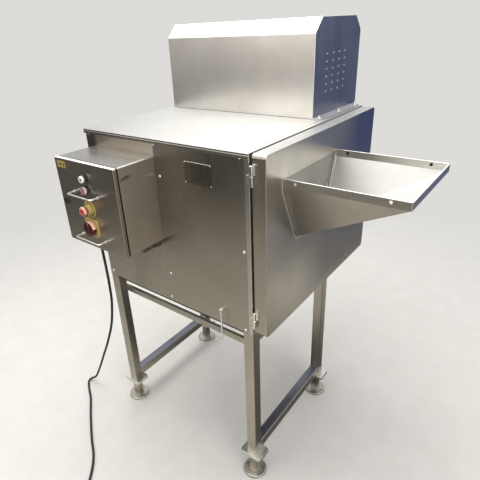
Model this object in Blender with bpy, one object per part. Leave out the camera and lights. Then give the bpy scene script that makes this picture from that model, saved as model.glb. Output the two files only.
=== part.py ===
"""Meat injector on a four-legged stand: sheet housing with a pan-shaped side door, infeed
scoop, drive hood, control box, needle head, conveyor and brine parts. Metres, +Z up.
Origin: floor level, centre of the front foot on the infeed side. +X towards the infeed side
(right), -Y towards the control box side (front). Pieces are laid out in a machine grid whose
zero is the housing's front, infeed-side, top corner; GRID moves it into the part's frame."""

import math

import bmesh
import bpy
from mathutils import Matrix, Vector

# ---------------------------------------------------------------- driving dimensions
# _X, _Y, _Z are places in the machine grid; _W, _D, _H, _T, _R are width, depth, height,
# thickness and radius; 0 and 1 mark the low and the high end of a span.
BODY_W = 0.715            # housing width along X
BODY_D = 0.775            # housing depth along Y
STAND_D = 0.550           # depth over the legs
TOP_Z = 1.285             # height of the housing top above the floor
SHEET = 0.002             # sheet thickness
GAP = 0.0003              # running gap between neighbours
LEG = 0.040               # square tube of the stand
GRID = Vector((LEG / 2, -LEG / 2, TOP_Z))
PLUS_X, PLUS_Y, MINUS_Y = (1, 0, 0), (0, 1, 0), (0, -1, 0)
UP, DOWN = (0, 0, 1), (0, 0, -1)
SHARP_ANGLE = math.radians(32)

BASE_Z = -0.603           # underside of the housing
PAN_TOP = BASE_Z + SHEET + GAP          # where parts stand on the base pan
PANEL_TOP = -0.0035       # upper edge of the wall panels
PANEL_Y0 = 0.0303         # front edge of the left and rear panels
INNER_X0 = -BODY_W + SHEET + GAP        # clear of the left panel
INNER_X1 = -SHEET - GAP                 # clear of the right panel

DOOR_X0, DOOR_X1 = 0.010, 0.054         # side door pan, inner rim and outer face
DOOR_Y0, DOOR_Y1 = -0.001, 0.762
DOOR_Z0, DOOR_Z1 = -0.590, 0.000
HINGE_X, HINGE_Y = 0.0125, -0.0085

CHUTE_X = 0.401           # outer lip of the infeed scoop
CHUTE_Y0, CHUTE_Y1 = 0.088, 0.438
CHUTE_RIM, CHUTE_BAND = -0.087, -0.109  # top and bottom of the scoop's upright band
CHUTE_FLOOR = -0.300
CHUTE_TAPER = 0.079       # how far each side wall leans in at the door
FLAP_X, FLAP_Z = 0.0465, CHUTE_RIM + 0.006    # rod the infeed flap hangs on

BOX_X0, BOX_X1 = -0.6695, -0.3705       # control box
BOX_Z0, BOX_Z1 = -0.3545, -0.0565
BOX_Y, BOX_DOOR_T, BOX_SEAL = -0.166, 0.0125, 0.0035
CABLE_HOLE = (-0.56, -0.01, -0.25), (-0.48, 0.01, -0.15)    # from the box into the housing

DRAIN_X, DRAIN_Y, DRAIN_STEM_Z = -0.116, 0.120, -0.539

BELT_Z = -0.362           # conveyor roller axes
IDLER_X, DRIVE_X = -0.036, -0.662
HEAD_X, HEAD_Y = -0.3575, 0.263         # needle head centre
COLUMN_Y = 0.565
FEED_Y = 0.5050           # brine feed and pump, in line with HEAD_X


# ---------------------------------------------------------------- materials
def material(name, colour, roughness, metallic=0.0):
    mat = bpy.data.materials.new(name)
    mat.use_nodes = True
    shader = mat.node_tree.nodes["Principled BSDF"]
    shader.inputs["Base Color"].default_value = (*colour, 1.0)
    shader.inputs["Roughness"].default_value = roughness
    shader.inputs["Metallic"].default_value = metallic
    return mat


for old in list(bpy.data.objects):
    bpy.data.objects.remove(old, do_unlink=True)

STEEL = material("brushed_steel", colour=(0.52, 0.50, 0.47), roughness=0.34, metallic=1.0)
STEEL_DARK = material("tube_steel", colour=(0.45, 0.43, 0.39), roughness=0.42, metallic=1.0)
CHROME = material("polished_steel", colour=(0.75, 0.75, 0.75), roughness=0.12, metallic=1.0)
CAST = material("motor_grey", colour=(0.22, 0.25, 0.27), roughness=0.55, metallic=0.3)
BLACK = material("black_plastic", colour=(0.015, 0.015, 0.016), roughness=0.45)
RUBBER = material("black_rubber", colour=(0.02, 0.02, 0.02), roughness=0.75)
RED = material("red_plastic", colour=(0.62, 0.03, 0.04), roughness=0.35)
YELLOW = material("yellow_plastic", colour=(0.78, 0.58, 0.05), roughness=0.45)
WHITE = material("white_plastic", colour=(0.85, 0.85, 0.82), roughness=0.35)
BLUE = material("blue_belt", colour=(0.10, 0.24, 0.50), roughness=0.6)
GUIDE_PLASTIC = material("white_guide_plastic", colour=(0.80, 0.80, 0.78), roughness=0.5)
ETCHED = material("etched_plate", colour=(0.60, 0.60, 0.58), roughness=0.3, metallic=1.0)


# ---------------------------------------------------------------- modelling helpers
def grid(x, y, z):
    return GRID + Vector((x, y, z))


def placed(axis, pair, along):
    """Grid coordinates from a pair across an axis (in X, Y, Z order) and a place along it."""
    coords = list(pair)
    coords.insert("XYZ".index(axis), along)
    return coords


def finish(name, bm, mat):
    bmesh.ops.remove_doubles(bm, verts=bm.verts, dist=1e-6)
    bmesh.ops.recalc_face_normals(bm, faces=bm.faces)
    mesh = bpy.data.meshes.new(name)
    bm.to_mesh(mesh)
    bm.free()
    mesh.materials.append(mat)
    mesh.shade_smooth()
    mesh.set_sharp_from_angle(angle=SHARP_ANGLE)
    obj = bpy.data.objects.new(name, mesh)
    bpy.context.collection.objects.link(obj)
    return obj


def box(name, low, high, mat=STEEL, bevel=0.0, segments=2, edges=None):
    """Box between two grid corners; edges picks the axis whose edges are rounded."""
    start, end = grid(*low), grid(*high)
    bm = bmesh.new()
    bmesh.ops.create_cube(bm, size=1.0)
    for vert in bm.verts:
        vert.co = Vector([start[i] if vert.co[i] < 0 else end[i] for i in range(3)])
    if bevel:
        chosen = []
        for edge in bm.edges:
            along = (edge.verts[0].co - edge.verts[1].co).normalized()
            if edges is None or abs(along["XYZ".index(edges)]) > 0.9:
                chosen.append(edge)
        bmesh.ops.bevel(bm, geom=chosen, offset=bevel, segments=segments, profile=0.5,
                        affect="EDGES")
    return finish(name, bm, mat)


def skin_rings(bm, rings):
    """Join equal rings of vertices into a tube and cap both ends."""
    count = len(rings[0])
    for lower, upper in zip(rings, rings[1:]):
        for k in range(count):
            j = (k + 1) % count
            bm.faces.new((lower[k], lower[j], upper[j], upper[k]))
    bm.faces.new(list(reversed(rings[0])))
    bm.faces.new(rings[-1])


def lathe(name, start, direction, profile, mat=STEEL, sides=16):
    """Turned solid from a grid point. profile: (distance along direction, radius)."""
    origin = grid(*start)
    along = Vector(direction).normalized()
    across = along.orthogonal().normalized()
    other = along.cross(across)
    turns = [2 * math.pi * k / sides for k in range(sides)]
    bm = bmesh.new()
    rings = []
    for distance, radius in profile:
        centre = origin + along * distance
        rings.append([bm.verts.new(centre + (across * math.cos(t) + other * math.sin(t)) * radius)
                      for t in turns])
    skin_rings(bm, rings)
    return finish(name, bm, mat)


def cylinder(name, axis, centre, start, end, radius, mat=STEEL, sides=16):
    """Round bar along a grid axis; centre is given in the two other axes."""
    first, last = placed(axis, centre, start), placed(axis, centre, end)
    run = grid(*last) - grid(*first)
    return lathe(name, first, run, [(0, radius), (run.length, radius)], mat, sides)


def prism(name, outline, axis, start, end, mat=STEEL):
    """Outline in the two other grid axes (in X, Y, Z order), extruded along axis."""
    bm = bmesh.new()
    skin_rings(bm, [[bm.verts.new(grid(*placed(axis, pair, along))) for pair in outline]
                    for along in (start, end)])
    return finish(name, bm, mat)


def hull(name, corners, mat=STEEL):
    """Convex solid around grid points."""
    bm = bmesh.new()
    for corner in corners:
        bm.verts.new(grid(*corner))
    made = bmesh.ops.convex_hull(bm, input=bm.verts)
    loose = {v for v in made["geom_interior"] if isinstance(v, bmesh.types.BMVert)}
    bmesh.ops.delete(bm, geom=list(loose), context="VERTS")
    bmesh.ops.dissolve_limit(bm, angle_limit=0.001, verts=bm.verts, edges=bm.edges)
    return finish(name, bm, mat)


def rounded(u0, v0, u1, v1, radius, steps=4):
    """Rounded rectangle outline with steps segments per corner."""
    corners = ((u1 - radius, v1 - radius, 0), (u0 + radius, v1 - radius, 90),
               (u0 + radius, v0 + radius, 180), (u1 - radius, v0 + radius, 270))
    outline = []
    for centre_u, centre_v, start in corners:
        for k in range(steps + 1):
            turn = math.radians(start + 90 * k / steps)
            outline.append((centre_u + radius * math.cos(turn),
                            centre_v + radius * math.sin(turn)))
    return outline


def catmull_rom(points, steps):
    """Smooth curve through points, with steps segments per span."""
    ends = [2 * points[0] - points[1]] + points + [2 * points[-1] - points[-2]]
    path = []
    for a, b, c, d in zip(ends, ends[1:], ends[2:], ends[3:]):
        for k in range(steps):
            t = k / steps
            path.append(0.5 * ((2 * b) + (c - a) * t + (2 * a - 5 * b + 4 * c - d) * t * t
                               + (3 * b - a - 3 * c + d) * t ** 3))
    path.append(ends[-2])
    return path


def sweep(name, points, radius, mat, sides=8, smooth_steps=0):
    """Round bar along a path of grid points, widened at bends to keep its section."""
    path = [Vector(p) for p in points]
    if smooth_steps:
        path = catmull_rom(path, smooth_steps)
    last = len(path) - 1
    tangents = [(path[min(k + 1, last)] - path[max(k - 1, 0)]).normalized()
                for k in range(len(path))]
    side = tangents[0].orthogonal().normalized()
    bm = bmesh.new()
    rings = []
    for k, (centre, tangent) in enumerate(zip(path, tangents)):
        side = (side - tangent * side.dot(tangent)).normalized()
        other = tangent.cross(side)
        stretch = 1.0
        if 0 < k < last:
            ahead = (path[k + 1] - centre).normalized()
            stretch = 1.0 / max(0.5, math.cos(ahead.angle(tangent)))
            bend = ahead - (centre - path[k - 1]).normalized()
        ring = []
        for j in range(sides):
            turn = 2 * math.pi * j / sides
            offset = side * math.cos(turn) * radius + other * math.sin(turn) * radius
            if stretch > 1.0001 and bend.length > 1e-6:
                outward = (bend - tangent * bend.dot(tangent)).normalized()
                offset += outward * offset.dot(outward) * (stretch - 1.0)
            ring.append(bm.verts.new(GRID + centre + offset))
        rings.append(ring)
    skin_rings(bm, rings)
    return finish(name, bm, mat)


def boolean(target, tools, operation):
    """Combine target with tools, keep the result as its mesh, and drop the tools."""
    for tool in tools:
        mod = target.modifiers.new("bool", "BOOLEAN")
        mod.operation = operation
        mod.solver = "EXACT"
        mod.object = tool
    bpy.context.view_layer.update()
    graph = bpy.context.evaluated_depsgraph_get()
    result = bpy.data.meshes.new_from_object(target.evaluated_get(graph))
    material_kept = target.data.materials[0]
    target.modifiers.clear()
    target.data = result
    result.materials.clear()
    result.materials.append(material_kept)
    result.polygons.foreach_set("material_index", [0] * len(result.polygons))
    result.shade_smooth()
    result.set_sharp_from_angle(angle=SHARP_ANGLE)
    for tool in tools:
        bpy.data.objects.remove(tool, do_unlink=True)
    return target


def fuse(target, *tools):
    return boolean(target, tools, "UNION")


def cut(target, *tools):
    return boolean(target, tools, "DIFFERENCE")


def pivot(name, at, *pieces, parent=None):
    """An empty on a joint's axis, with the moving pieces parented to it.
    Returns the empty and its place, which is what parent takes."""
    empty = bpy.data.objects.new(name, None)
    empty.empty_display_size = 0.03
    bpy.context.collection.objects.link(empty)
    world = grid(*at)
    empty.location = world
    if parent is not None:
        empty.parent, parent_world = parent
        empty.location = world - parent_world
    for piece in pieces:
        piece.data.transform(Matrix.Translation(-world))
        piece.parent = empty
    return empty, world


# ---------------------------------------------------------------- stand
LEG_TOP, LEG_BOTTOM = -0.6033, -1.175
LEG_X = ((-BODY_W, -BODY_W + LEG), (-LEG, 0.0))               # left, right
LEG_Y = ((0.0, LEG), (STAND_D - LEG, STAND_D))                # front, back
TUBE_WALL = 0.0025
RAIL_TOP, RAIL_LOW = -0.615, -1.133     # top faces of the upper and the lower rails
BAR, BAR_H, BAR_TOP = 0.015, 0.023, -0.674    # bar across the front, behind the legs
BAR_Y = LEG - 0.0015      # front face of that bar, just inside the legs
FOOT_R, FOOT_T = 0.045, 0.008
COLLAR_W, COLLAR_D, COLLAR_T = 0.090, 0.068, 0.013
STUB = 0.030              # square stub between collar and foot


def leg_tube(name, x_span, y_span):
    return box(name, (x_span[0], y_span[0], LEG_BOTTOM), (x_span[1], y_span[1], LEG_TOP),
               STEEL_DARK, bevel=0.003, segments=1, edges="Z")


def rail(name, x_span, y_span, top, inset):
    """Box of leg height below top, drawn in on both sides by inset along X, Y and Z."""
    in_x, in_y, in_z = inset
    return box(name, (x_span[0] + in_x, y_span[0] + in_y, top - LEG + in_z),
               (x_span[1] - in_x, y_span[1] - in_y, top - in_z))


def stand_frame():
    frame = leg_tube("stand_frame", LEG_X[0], LEG_Y[0])
    solids, hollows = [], []
    for x_span in LEG_X:
        for y_span in LEG_Y:
            x, y = sum(x_span) / 2, sum(y_span) / 2
            if (x_span, y_span) != (LEG_X[0], LEG_Y[0]):
                solids.append(leg_tube("leg", x_span, y_span))
            collar = rounded(x - COLLAR_W / 2, y - COLLAR_D / 2,
                             x + COLLAR_W / 2, y + COLLAR_D / 2, 0.010, steps=1)
            solids.append(prism("collar", collar, "Z",
                                LEG_BOTTOM - COLLAR_T + 0.001, LEG_BOTTOM + 0.001))
            solids.append(box("stub", (x - STUB / 2, y - STUB / 2, -TOP_Z + FOOT_T + GAP),
                              (x + STUB / 2, y + STUB / 2, LEG_BOTTOM - 0.004)))
            hollows.append(box(
                "bore", (x_span[0] + TUBE_WALL, y_span[0] + TUBE_WALL, LEG_BOTTOM + 0.008),
                (x_span[1] - TUBE_WALL, y_span[1] - TUBE_WALL, LEG_TOP + 0.01)))

    whole_x, whole_y = (-BODY_W, 0.0), (0.0, STAND_D)
    solids.append(box("front_bar", (-BODY_W + 0.01, BAR_Y, BAR_TOP - BAR_H),
                      (-0.01, BAR_Y + BAR, BAR_TOP)))
    solids.append(rail("rear_rail", whole_x, LEG_Y[1], RAIL_TOP, (0.010, 0.003, 0.0)))
    for x_span in LEG_X:
        solids.append(rail("rail", x_span, whole_y, RAIL_TOP, (0.003, 0.012, 0.001)))
        solids.append(rail("rail", x_span, whole_y, RAIL_LOW, (0.0012, 0.012, 0.0)))
        hollows.append(rail("bore", x_span, whole_y, RAIL_LOW, (0.005, 0.020, 0.003)))
        hollows.append(rail("bore", x_span, whole_y, RAIL_TOP, (0.0065, 0.021, 0.004)))
    hollows.append(rail("bore", whole_x, LEG_Y[1], RAIL_TOP, (0.021, 0.0062, 0.0035)))
    fuse(frame, *solids)
    cut(frame, *hollows)


def foot(name, x, y):
    """Round plate with two screw holes."""
    plate = lathe(name, (x, y, -TOP_Z), UP,
                  [(0, FOOT_R), (FOOT_T - 0.002, FOOT_R), (FOOT_T, FOOT_R - 0.002)],
                  STEEL_DARK, 20)
    cut(plate, *[cylinder("hole", "Z", (x + side * 0.031, y), -TOP_Z - 0.01, -TOP_Z + 0.03,
                          0.0045, sides=10) for side in (-1, 1)])


def feet():
    for x_word, x_span in zip(("left", "right"), LEG_X):
        for y_word, y_span in zip(("front", "back"), LEG_Y):
            foot(f"foot_{y_word}_{x_word}", sum(x_span) / 2, sum(y_span) / 2)


# ---------------------------------------------------------------- housing
HANG_X = 0.128            # stripper rods, each side of HEAD_X
HANG_Y = 0.360
LIFT_SLOTS = ((-0.076, -0.044), (0.044, 0.076), (-0.013, 0.013))     # X spans about HEAD_X


def front_panel():
    panel = box("front_panel", (-BODY_W, 0, BASE_Z), (0, 0.030, PANEL_TOP),
                bevel=0.003, edges="Z")
    cut(panel,
        box("inside", (-BODY_W + SHEET, SHEET, BASE_Z - 0.01), (-SHEET, 0.05, 0.01)),
        cylinder("lever_hole", "Y", (DRAIN_X, DRAIN_STEM_Z), -0.01, 0.01, 0.0055),
        box("cable_hole", *CABLE_HOLE))


def left_panel():
    panel = box("left_panel", (-BODY_W, PANEL_Y0, BASE_Z), (-BODY_W + SHEET, BODY_D, PANEL_TOP))
    cut(panel, prism("outlet", rounded(0.120, -0.400, 0.405, -0.190, 0.02), "X", -0.75, -0.70))


def rear_shell():
    """Back wall and right wall, with the opening behind the side door."""
    shell = box("rear_shell", (INNER_X0, PANEL_Y0, BASE_Z), (0, BODY_D, PANEL_TOP))
    cut(shell,
        box("inside", (-BODY_W, 0.02, BASE_Z - 0.01), (-SHEET, BODY_D - SHEET, 0.01)),
        prism("mouth", rounded(0.045, -0.575, 0.745, -0.028, 0.015), "X", -0.02, 0.02))


def base_pan():
    rim = 0.0045          # inner face of the pan's rim, from the housing's outside
    pan = box("base_pan", (INNER_X0, SHEET + GAP, BASE_Z),
              (INNER_X1, BODY_D - SHEET - GAP, BASE_Z + 0.028))
    cut(pan,
        box("inside", (-BODY_W + rim, rim, BASE_Z + SHEET), (-rim, BODY_D - rim, BASE_Z + 0.1)),
        cylinder("drain_hole", "Z", (DRAIN_X, DRAIN_Y), BASE_Z - 0.02, BASE_Z + 0.02, 0.0125))


def top_panel():
    panel = box("top_panel", (-BODY_W - 0.003, -0.0045, -0.016), (0.0005, BODY_D + 0.001, 0.0),
                bevel=0.0035, edges="Z")
    cut(panel,
        box("inside", (-BODY_W - 0.0012, -0.0025, -0.05), (0.01, BODY_D + 0.01, -SHEET)),
        box("lift_opening", (-0.570, 0.500, -0.01), (-0.150, 0.735, 0.01)))


def bulkhead():
    """Upright sheet behind the conveyor, with slots for the lift and guides for the stripper."""
    sheet = box("bulkhead", (INNER_X0, 0.452, -0.5745), (INNER_X1, 0.455, -0.0125))
    cut(sheet,
        *[box("slot", (HEAD_X + x0, 0.44, -0.185), (HEAD_X + x1, 0.47, -0.014))
          for x0, x1 in LIFT_SLOTS],
        cylinder("shaft_hole", "Y", (DRIVE_X, BELT_Z), 0.44, 0.47, 0.0098))
    rods = [HEAD_X + side * HANG_X for side in (-1, 1)]
    fuse(sheet, *[box("guide", (x - 0.014, 0.3480, -0.1500), (x + 0.014, 0.4530, -0.1250))
                  for x in rods])
    cut(sheet, *[cylinder("bore", "Z", (x, HANG_Y), -0.2, -0.1, 0.0049) for x in rods])


def sloped_block(name, y0, y1, flat_z, left_z, right_z):
    """Block flat at flat_z, its other face sloping from left_z to right_z."""
    flat = [(x, y, flat_z) for y in (y0, y1) for x in (-0.83, -0.70)]
    sloped = [(x, y, z) for y in (y0, y1) for x, z in ((-0.83, left_z), (-0.70, right_z))]
    return hull(name, flat + sloped)


def outfeed_chute():
    chute = box("outfeed_chute", (-0.800, 0.128, -0.4225), (-0.7155, 0.397, -0.360))
    cut(chute, sloped_block("inside", 0.130, 0.395, -0.30, -0.4205, -0.3985),
        sloped_block("under", 0.10, 0.42, -0.45, -0.4228, -0.4008))


# ---------------------------------------------------------------- hood
HOOD_X0, HOOD_X1 = -0.705, -0.050
HOOD_Y0, HOOD_Y1 = 0.456, 0.822
HOOD_Z, HOOD_CHAMFER = 0.318, 0.048
VENT_ROWS, VENT_COLUMNS = 6, 4
VENT_Y, VENT_Z = 0.552, 0.083           # lowest, foremost vent
VENT_PITCH_Y, VENT_PITCH_Z = 0.048, 0.0245
VENT_HALF_W, VENT_HALF_H = 0.0065, 0.0040


def hood_outline(inset, low):
    """Y, Z outline of the hood drawn in by inset, open down to low."""
    y0, y1, top = HOOD_Y0 + inset, HOOD_Y1 - inset, HOOD_Z - inset
    chamfer = HOOD_CHAMFER - 0.4 * inset
    return [(y0, low), (y1, low), (y1, top - chamfer), (y1 - chamfer, top),
            (y0 + chamfer, top), (y0, top - chamfer)]


def hood():
    """Cover over the lift drive, with diamond vents on its right face."""
    shell = prism("hood", hood_outline(0.0, GAP), "X", HOOD_X0, HOOD_X1)
    tools = [prism("inside", hood_outline(SHEET, GAP - 0.02), "X",
                   HOOD_X0 + SHEET, HOOD_X1 - SHEET)]
    for row in range(VENT_ROWS):
        for column in range(VENT_COLUMNS):
            y, z = VENT_Y + VENT_PITCH_Y * column, VENT_Z + VENT_PITCH_Z * row
            diamond = [(y - VENT_HALF_W, z), (y, z - VENT_HALF_H),
                       (y + VENT_HALF_W, z), (y, z + VENT_HALF_H)]
            tools.append(prism("vent", diamond, "X", HOOD_X1 - 0.02, HOOD_X1 + 0.02))
    cut(shell, *tools)
    fuse(shell, *[box("flange", (x0, HOOD_Y0 + 0.002, GAP), (x1, BODY_D, 0.003 + GAP))
                  for x0, x1 in ((HOOD_X1 - 0.001, -0.018), (-0.7155, HOOD_X0 + 0.001))])


# ---------------------------------------------------------------- side door with scoop
DOOR_R = 0.012            # corner radius of the door pan


def door_outline(inset, radius):
    return rounded(DOOR_Y0 + inset, DOOR_Z0 + inset, DOOR_Y1 - inset, DOOR_Z1 - inset, radius)


def main_door():
    """Pan with a rim towards the housing, the scoop's mouth and two lugs for the flap rod."""
    door = prism("main_door", door_outline(0.0, DOOR_R), "X", DOOR_X0, DOOR_X1)
    mouth = [(CHUTE_Y0 + 0.004, CHUTE_RIM - 0.003), (CHUTE_Y1 - 0.004, CHUTE_RIM - 0.003),
             (CHUTE_Y1 - CHUTE_TAPER - 0.002, CHUTE_FLOOR + 0.002),
             (CHUTE_Y0 + CHUTE_TAPER + 0.002, CHUTE_FLOOR + 0.002)]
    cut(door,
        prism("inside", door_outline(SHEET, DOOR_R - SHEET), "X",
              DOOR_X0 + SHEET, DOOR_X1 - SHEET),
        prism("rim", door_outline(0.020, 0.006), "X", DOOR_X0 - 0.01, DOOR_X0 + 0.01),
        prism("mouth", mouth, "X", DOOR_X1 - 0.01, DOOR_X1 + 0.01))
    fuse(door, *[box("lug", (0.0400, y - 0.004, FLAP_Z - 0.009),
                     (DOOR_X1 - SHEET + 0.0005, y + 0.004, FLAP_Z + 0.009))
                 for y in (CHUTE_Y0 - 0.0005, CHUTE_Y1 + 0.0005)])
    return cut(door, cylinder("bore", "Y", (FLAP_X, FLAP_Z), CHUTE_Y0 - 0.003,
                              CHUTE_Y1 + 0.003, 0.0044))


def door_gasket():
    gasket = prism("door_gasket", rounded(0.007, -0.583, 0.755, -0.0175, 0.010), "X",
                   GAP, DOOR_X0 - GAP, RUBBER)
    return cut(gasket, prism("inside", rounded(0.019, -0.571, 0.743, -0.0295, 0.005), "X",
                             -0.01, 0.02))


def scoop_corners(wall):
    """Outer (wall = 0) or inner corners of the hopper below the band."""
    y0, y1 = CHUTE_Y0 + wall, CHUTE_Y1 - wall
    door_x, lip_x = DOOR_X1 + GAP, CHUTE_X - wall
    top, lip_z = CHUTE_BAND + 0.001, CHUTE_BAND - 0.001 + wall * 0.4
    return [(door_x, y0, top), (door_x, y1, top), (lip_x, y0, top), (lip_x, y1, top),
            (door_x, y0 + CHUTE_TAPER, CHUTE_FLOOR + wall),
            (door_x, y1 - CHUTE_TAPER, CHUTE_FLOOR + wall),
            (lip_x, y0, lip_z), (lip_x, y1, lip_z)]


def scoop_inside():
    """Hopper cavity, carried on along its slopes through the door flange."""
    extra = 0.03
    length = CHUTE_X - DOOR_X1
    slope = (CHUTE_FLOOR - CHUTE_BAND) / length
    lean = CHUTE_TAPER / length
    corners = [((x - extra if x < 0.1 else x), y, z) for x, y, z in scoop_corners(SHEET)]
    for k, inward in ((4, 1), (5, -1)):
        x, y, z = corners[k]
        corners[k] = (x, y + inward * extra * lean, z + extra * slope)
    return hull("inside", corners)


def infeed_chute():
    chute = hull("infeed_chute", scoop_corners(0.0))
    door_x = DOOR_X1 + GAP
    band = box("band", (door_x, CHUTE_Y0 - 0.003, CHUTE_BAND),
               (CHUTE_X + 0.003, CHUTE_Y1 + 0.003, CHUTE_RIM), bevel=0.004, edges="Z")
    flange_outline = [
        (CHUTE_Y0 - 0.010, CHUTE_RIM), (CHUTE_Y1 + 0.010, CHUTE_RIM),
        (CHUTE_Y1 + 0.010, CHUTE_BAND - 0.012),
        (CHUTE_Y1 - CHUTE_TAPER + 0.012, CHUTE_FLOOR + 0.004),
        (CHUTE_Y1 - CHUTE_TAPER - 0.006, CHUTE_FLOOR - 0.012),
        (CHUTE_Y0 + CHUTE_TAPER + 0.006, CHUTE_FLOOR - 0.012),
        (CHUTE_Y0 + CHUTE_TAPER - 0.012, CHUTE_FLOOR + 0.004),
        (CHUTE_Y0 - 0.010, CHUTE_BAND - 0.012)]
    fuse(chute, band, prism("flange", flange_outline, "X", door_x, DOOR_X1 + 0.0025))
    holes = [cylinder("hole", "Y", (x, -0.0945), y - 0.02, y + 0.02, 0.0038, sides=12)
             for x in (0.094, 0.3535) for y in (CHUTE_Y0, CHUTE_Y1)]
    return cut(
        chute, scoop_inside(),
        box("band_inside", (DOOR_X1 - 0.02, CHUTE_Y0 + SHEET, CHUTE_BAND - 0.0005),
            (CHUTE_X - SHEET, CHUTE_Y1 - SHEET, CHUTE_RIM + 0.01)),
        box("trim", (DOOR_X1 - 0.02, CHUTE_Y0 + 0.01, CHUTE_RIM - 0.001),
            (DOOR_X1 + 0.01, CHUTE_Y1 - 0.01, CHUTE_RIM + 0.01)),
        *holes)


def infeed_flap():
    """Sheet flap in the scoop's mouth, hanging on a rod."""
    y0, y1 = CHUTE_Y0 + 0.006, CHUTE_Y1 - 0.006
    outline = [(y0, FLAP_Z - 0.006), (y1, FLAP_Z - 0.006), (y1, CHUTE_BAND + 0.004),
               (CHUTE_Y1 - CHUTE_TAPER + 0.004, CHUTE_FLOOR + 0.006),
               (CHUTE_Y0 + CHUTE_TAPER - 0.004, CHUTE_FLOOR + 0.006), (y0, CHUTE_BAND + 0.004)]
    flap = prism("infeed_flap", outline, "X", 0.0455, 0.0475)
    return fuse(flap,
                cylinder("rod", "Y", (FLAP_X, FLAP_Z), CHUTE_Y0 - 0.002, CHUTE_Y1 + 0.002, 0.004),
                box("web", (0.0456, CHUTE_Y0 + 0.007, FLAP_Z - 0.008),
                    (0.0474, CHUTE_Y1 - 0.007, FLAP_Z - 0.002)))


# Lift-off hinges: fixed lower knuckle with pin, door knuckle on top of it.
HINGE_R = 0.0062
HINGES = (("upper", -0.0585), ("lower", -0.5320))             # name, Z between the knuckles


def hinge_fixed_half(name, mid_z):
    pin_r = 0.0030
    half = lathe(f"{name}_hinge_fixed_half", (HINGE_X, HINGE_Y, mid_z - 0.031), UP,
                 [(0, 0.0045), (0.0015, HINGE_R), (0.0305, HINGE_R), (0.0305, pin_r),
                  (0.054, pin_r), (0.055, 0.0022)], CHROME, 12)
    leaf = [(HINGE_X, HINGE_Y + 0.003), (HINGE_X - 0.004, HINGE_Y - 0.003),
            (-0.004, -0.0045 - GAP), (-0.018, -0.0045 - GAP + 0.0015),
            (-0.018, -GAP), (-0.002, -GAP), (0.004, -GAP)]
    fuse(half, prism("leaf", leaf, "Z", mid_z - 0.029, mid_z - 0.002))


def hinge_door_half(name, mid_z):
    half = lathe(f"{name}_hinge_door_half", (HINGE_X, HINGE_Y, mid_z), UP,
                 [(0, HINGE_R), (0.0285, HINGE_R), (0.030, 0.0045)], CHROME, 12)
    leaf_y = DOOR_Y0 - GAP
    leaf = [(HINGE_X, HINGE_Y - 0.003), (HINGE_X + 0.020, leaf_y - 0.0025),
            (HINGE_X + 0.024, leaf_y - 0.0010), (HINGE_X + 0.024, leaf_y),
            (HINGE_X - 0.001, leaf_y), (HINGE_X - 0.001, HINGE_Y + 0.002)]
    fuse(half, prism("leaf", leaf, "Z", mid_z + 0.001, mid_z + 0.029))
    return cut(half, cylinder("pin_hole", "Z", (HINGE_X, HINGE_Y), mid_z - 0.005,
                              mid_z + 0.0268, 0.00335))


LATCH_X, LATCH_Y = 0.030, 0.642


def door_latch():
    latch = lathe("door_latch", (LATCH_X, LATCH_Y, DOOR_Z0 - GAP), DOWN,
                  [(0, 0.008), (0.004, 0.008), (0.006, 0.0065)], CHROME, 12)
    return fuse(latch,
                box("tongue", (-0.012, LATCH_Y - 0.006, DOOR_Z0 - 0.0185),
                    (0.036, LATCH_Y + 0.006, DOOR_Z0 - 0.0155)),
                cylinder("post", "Z", (LATCH_X, LATCH_Y), DOOR_Z0 - 0.004, DOOR_Z0 - 0.018,
                         0.005))


# ---------------------------------------------------------------- control box
SEAL_Y = BOX_Y + BOX_DOOR_T             # rear edge of the box door
BODY_Y = SEAL_Y + BOX_SEAL              # front edge of the box
FACE = BOX_Y - GAP                      # seat of the controls on the door
CTRL_X = -0.520                         # centre line of the controls
BUTTON_Z, SELECT_Z, ESTOP_Z, SWITCH_Z = -0.108, -0.146, -0.212, -0.277
LOCK_X, LOCK_Z = -0.645, (BOX_Z0 + BOX_Z1) / 2
SHAFT_R, SHAFT_BORE_R = 0.0080, 0.0083
CONTROL_HOLES = (                       # X, Z, radius
    (CTRL_X, BUTTON_Z, 0.0085), (CTRL_X, SELECT_Z, 0.0085), (CTRL_X, ESTOP_Z, 0.0085),
    (CTRL_X, SWITCH_Z, 0.0060), (LOCK_X, LOCK_Z, 0.0085))
POWER_GLAND, MOTOR_GLAND = (-0.605, -0.094), (-0.402, -0.070)      # X, Y


def in_box(name, inset, y0, y1, mat=STEEL, **rounding):
    """Box over the control box's X and Z extent, drawn in by inset."""
    return box(name, (BOX_X0 + inset, y0, BOX_Z0 + inset), (BOX_X1 - inset, y1, BOX_Z1 - inset),
               mat, **rounding)


def control_box():
    wall = 0.0015
    body = in_box("control_box", 0.0, BODY_Y, -GAP, bevel=0.004, edges="Y")
    cut(body,
        in_box("inside", wall, BODY_Y - 0.01, -GAP - wall, bevel=0.003, segments=1, edges="Y"),
        box("cable_hole", *CABLE_HOLE),
        *[cylinder("gland_hole", "Z", place, BOX_Z0 - 0.01, BOX_Z0 + 0.01, 0.0085)
          for place in (POWER_GLAND, MOTOR_GLAND)])


def control_box_door():
    door = in_box("control_box_door", -0.001, BOX_Y, SEAL_Y, bevel=0.005, edges="Y")
    return cut(door,
               in_box("inside", 0.0007, BOX_Y + 0.0017, SEAL_Y + 0.01,
                      bevel=0.004, segments=1, edges="Y"),
               *[cylinder("control_hole", "Y", (x, z), BOX_Y - 0.01, BOX_Y + 0.01, radius)
                 for x, z, radius in CONTROL_HOLES])


def control_box_seal():
    seal = in_box("control_box_seal", 0.003, SEAL_Y - 0.008, BODY_Y - GAP, RUBBER,
                  bevel=0.003, segments=1, edges="Y")
    return cut(seal, in_box("inside", 0.015, SEAL_Y - 0.02, BODY_Y + 0.02))


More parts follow.
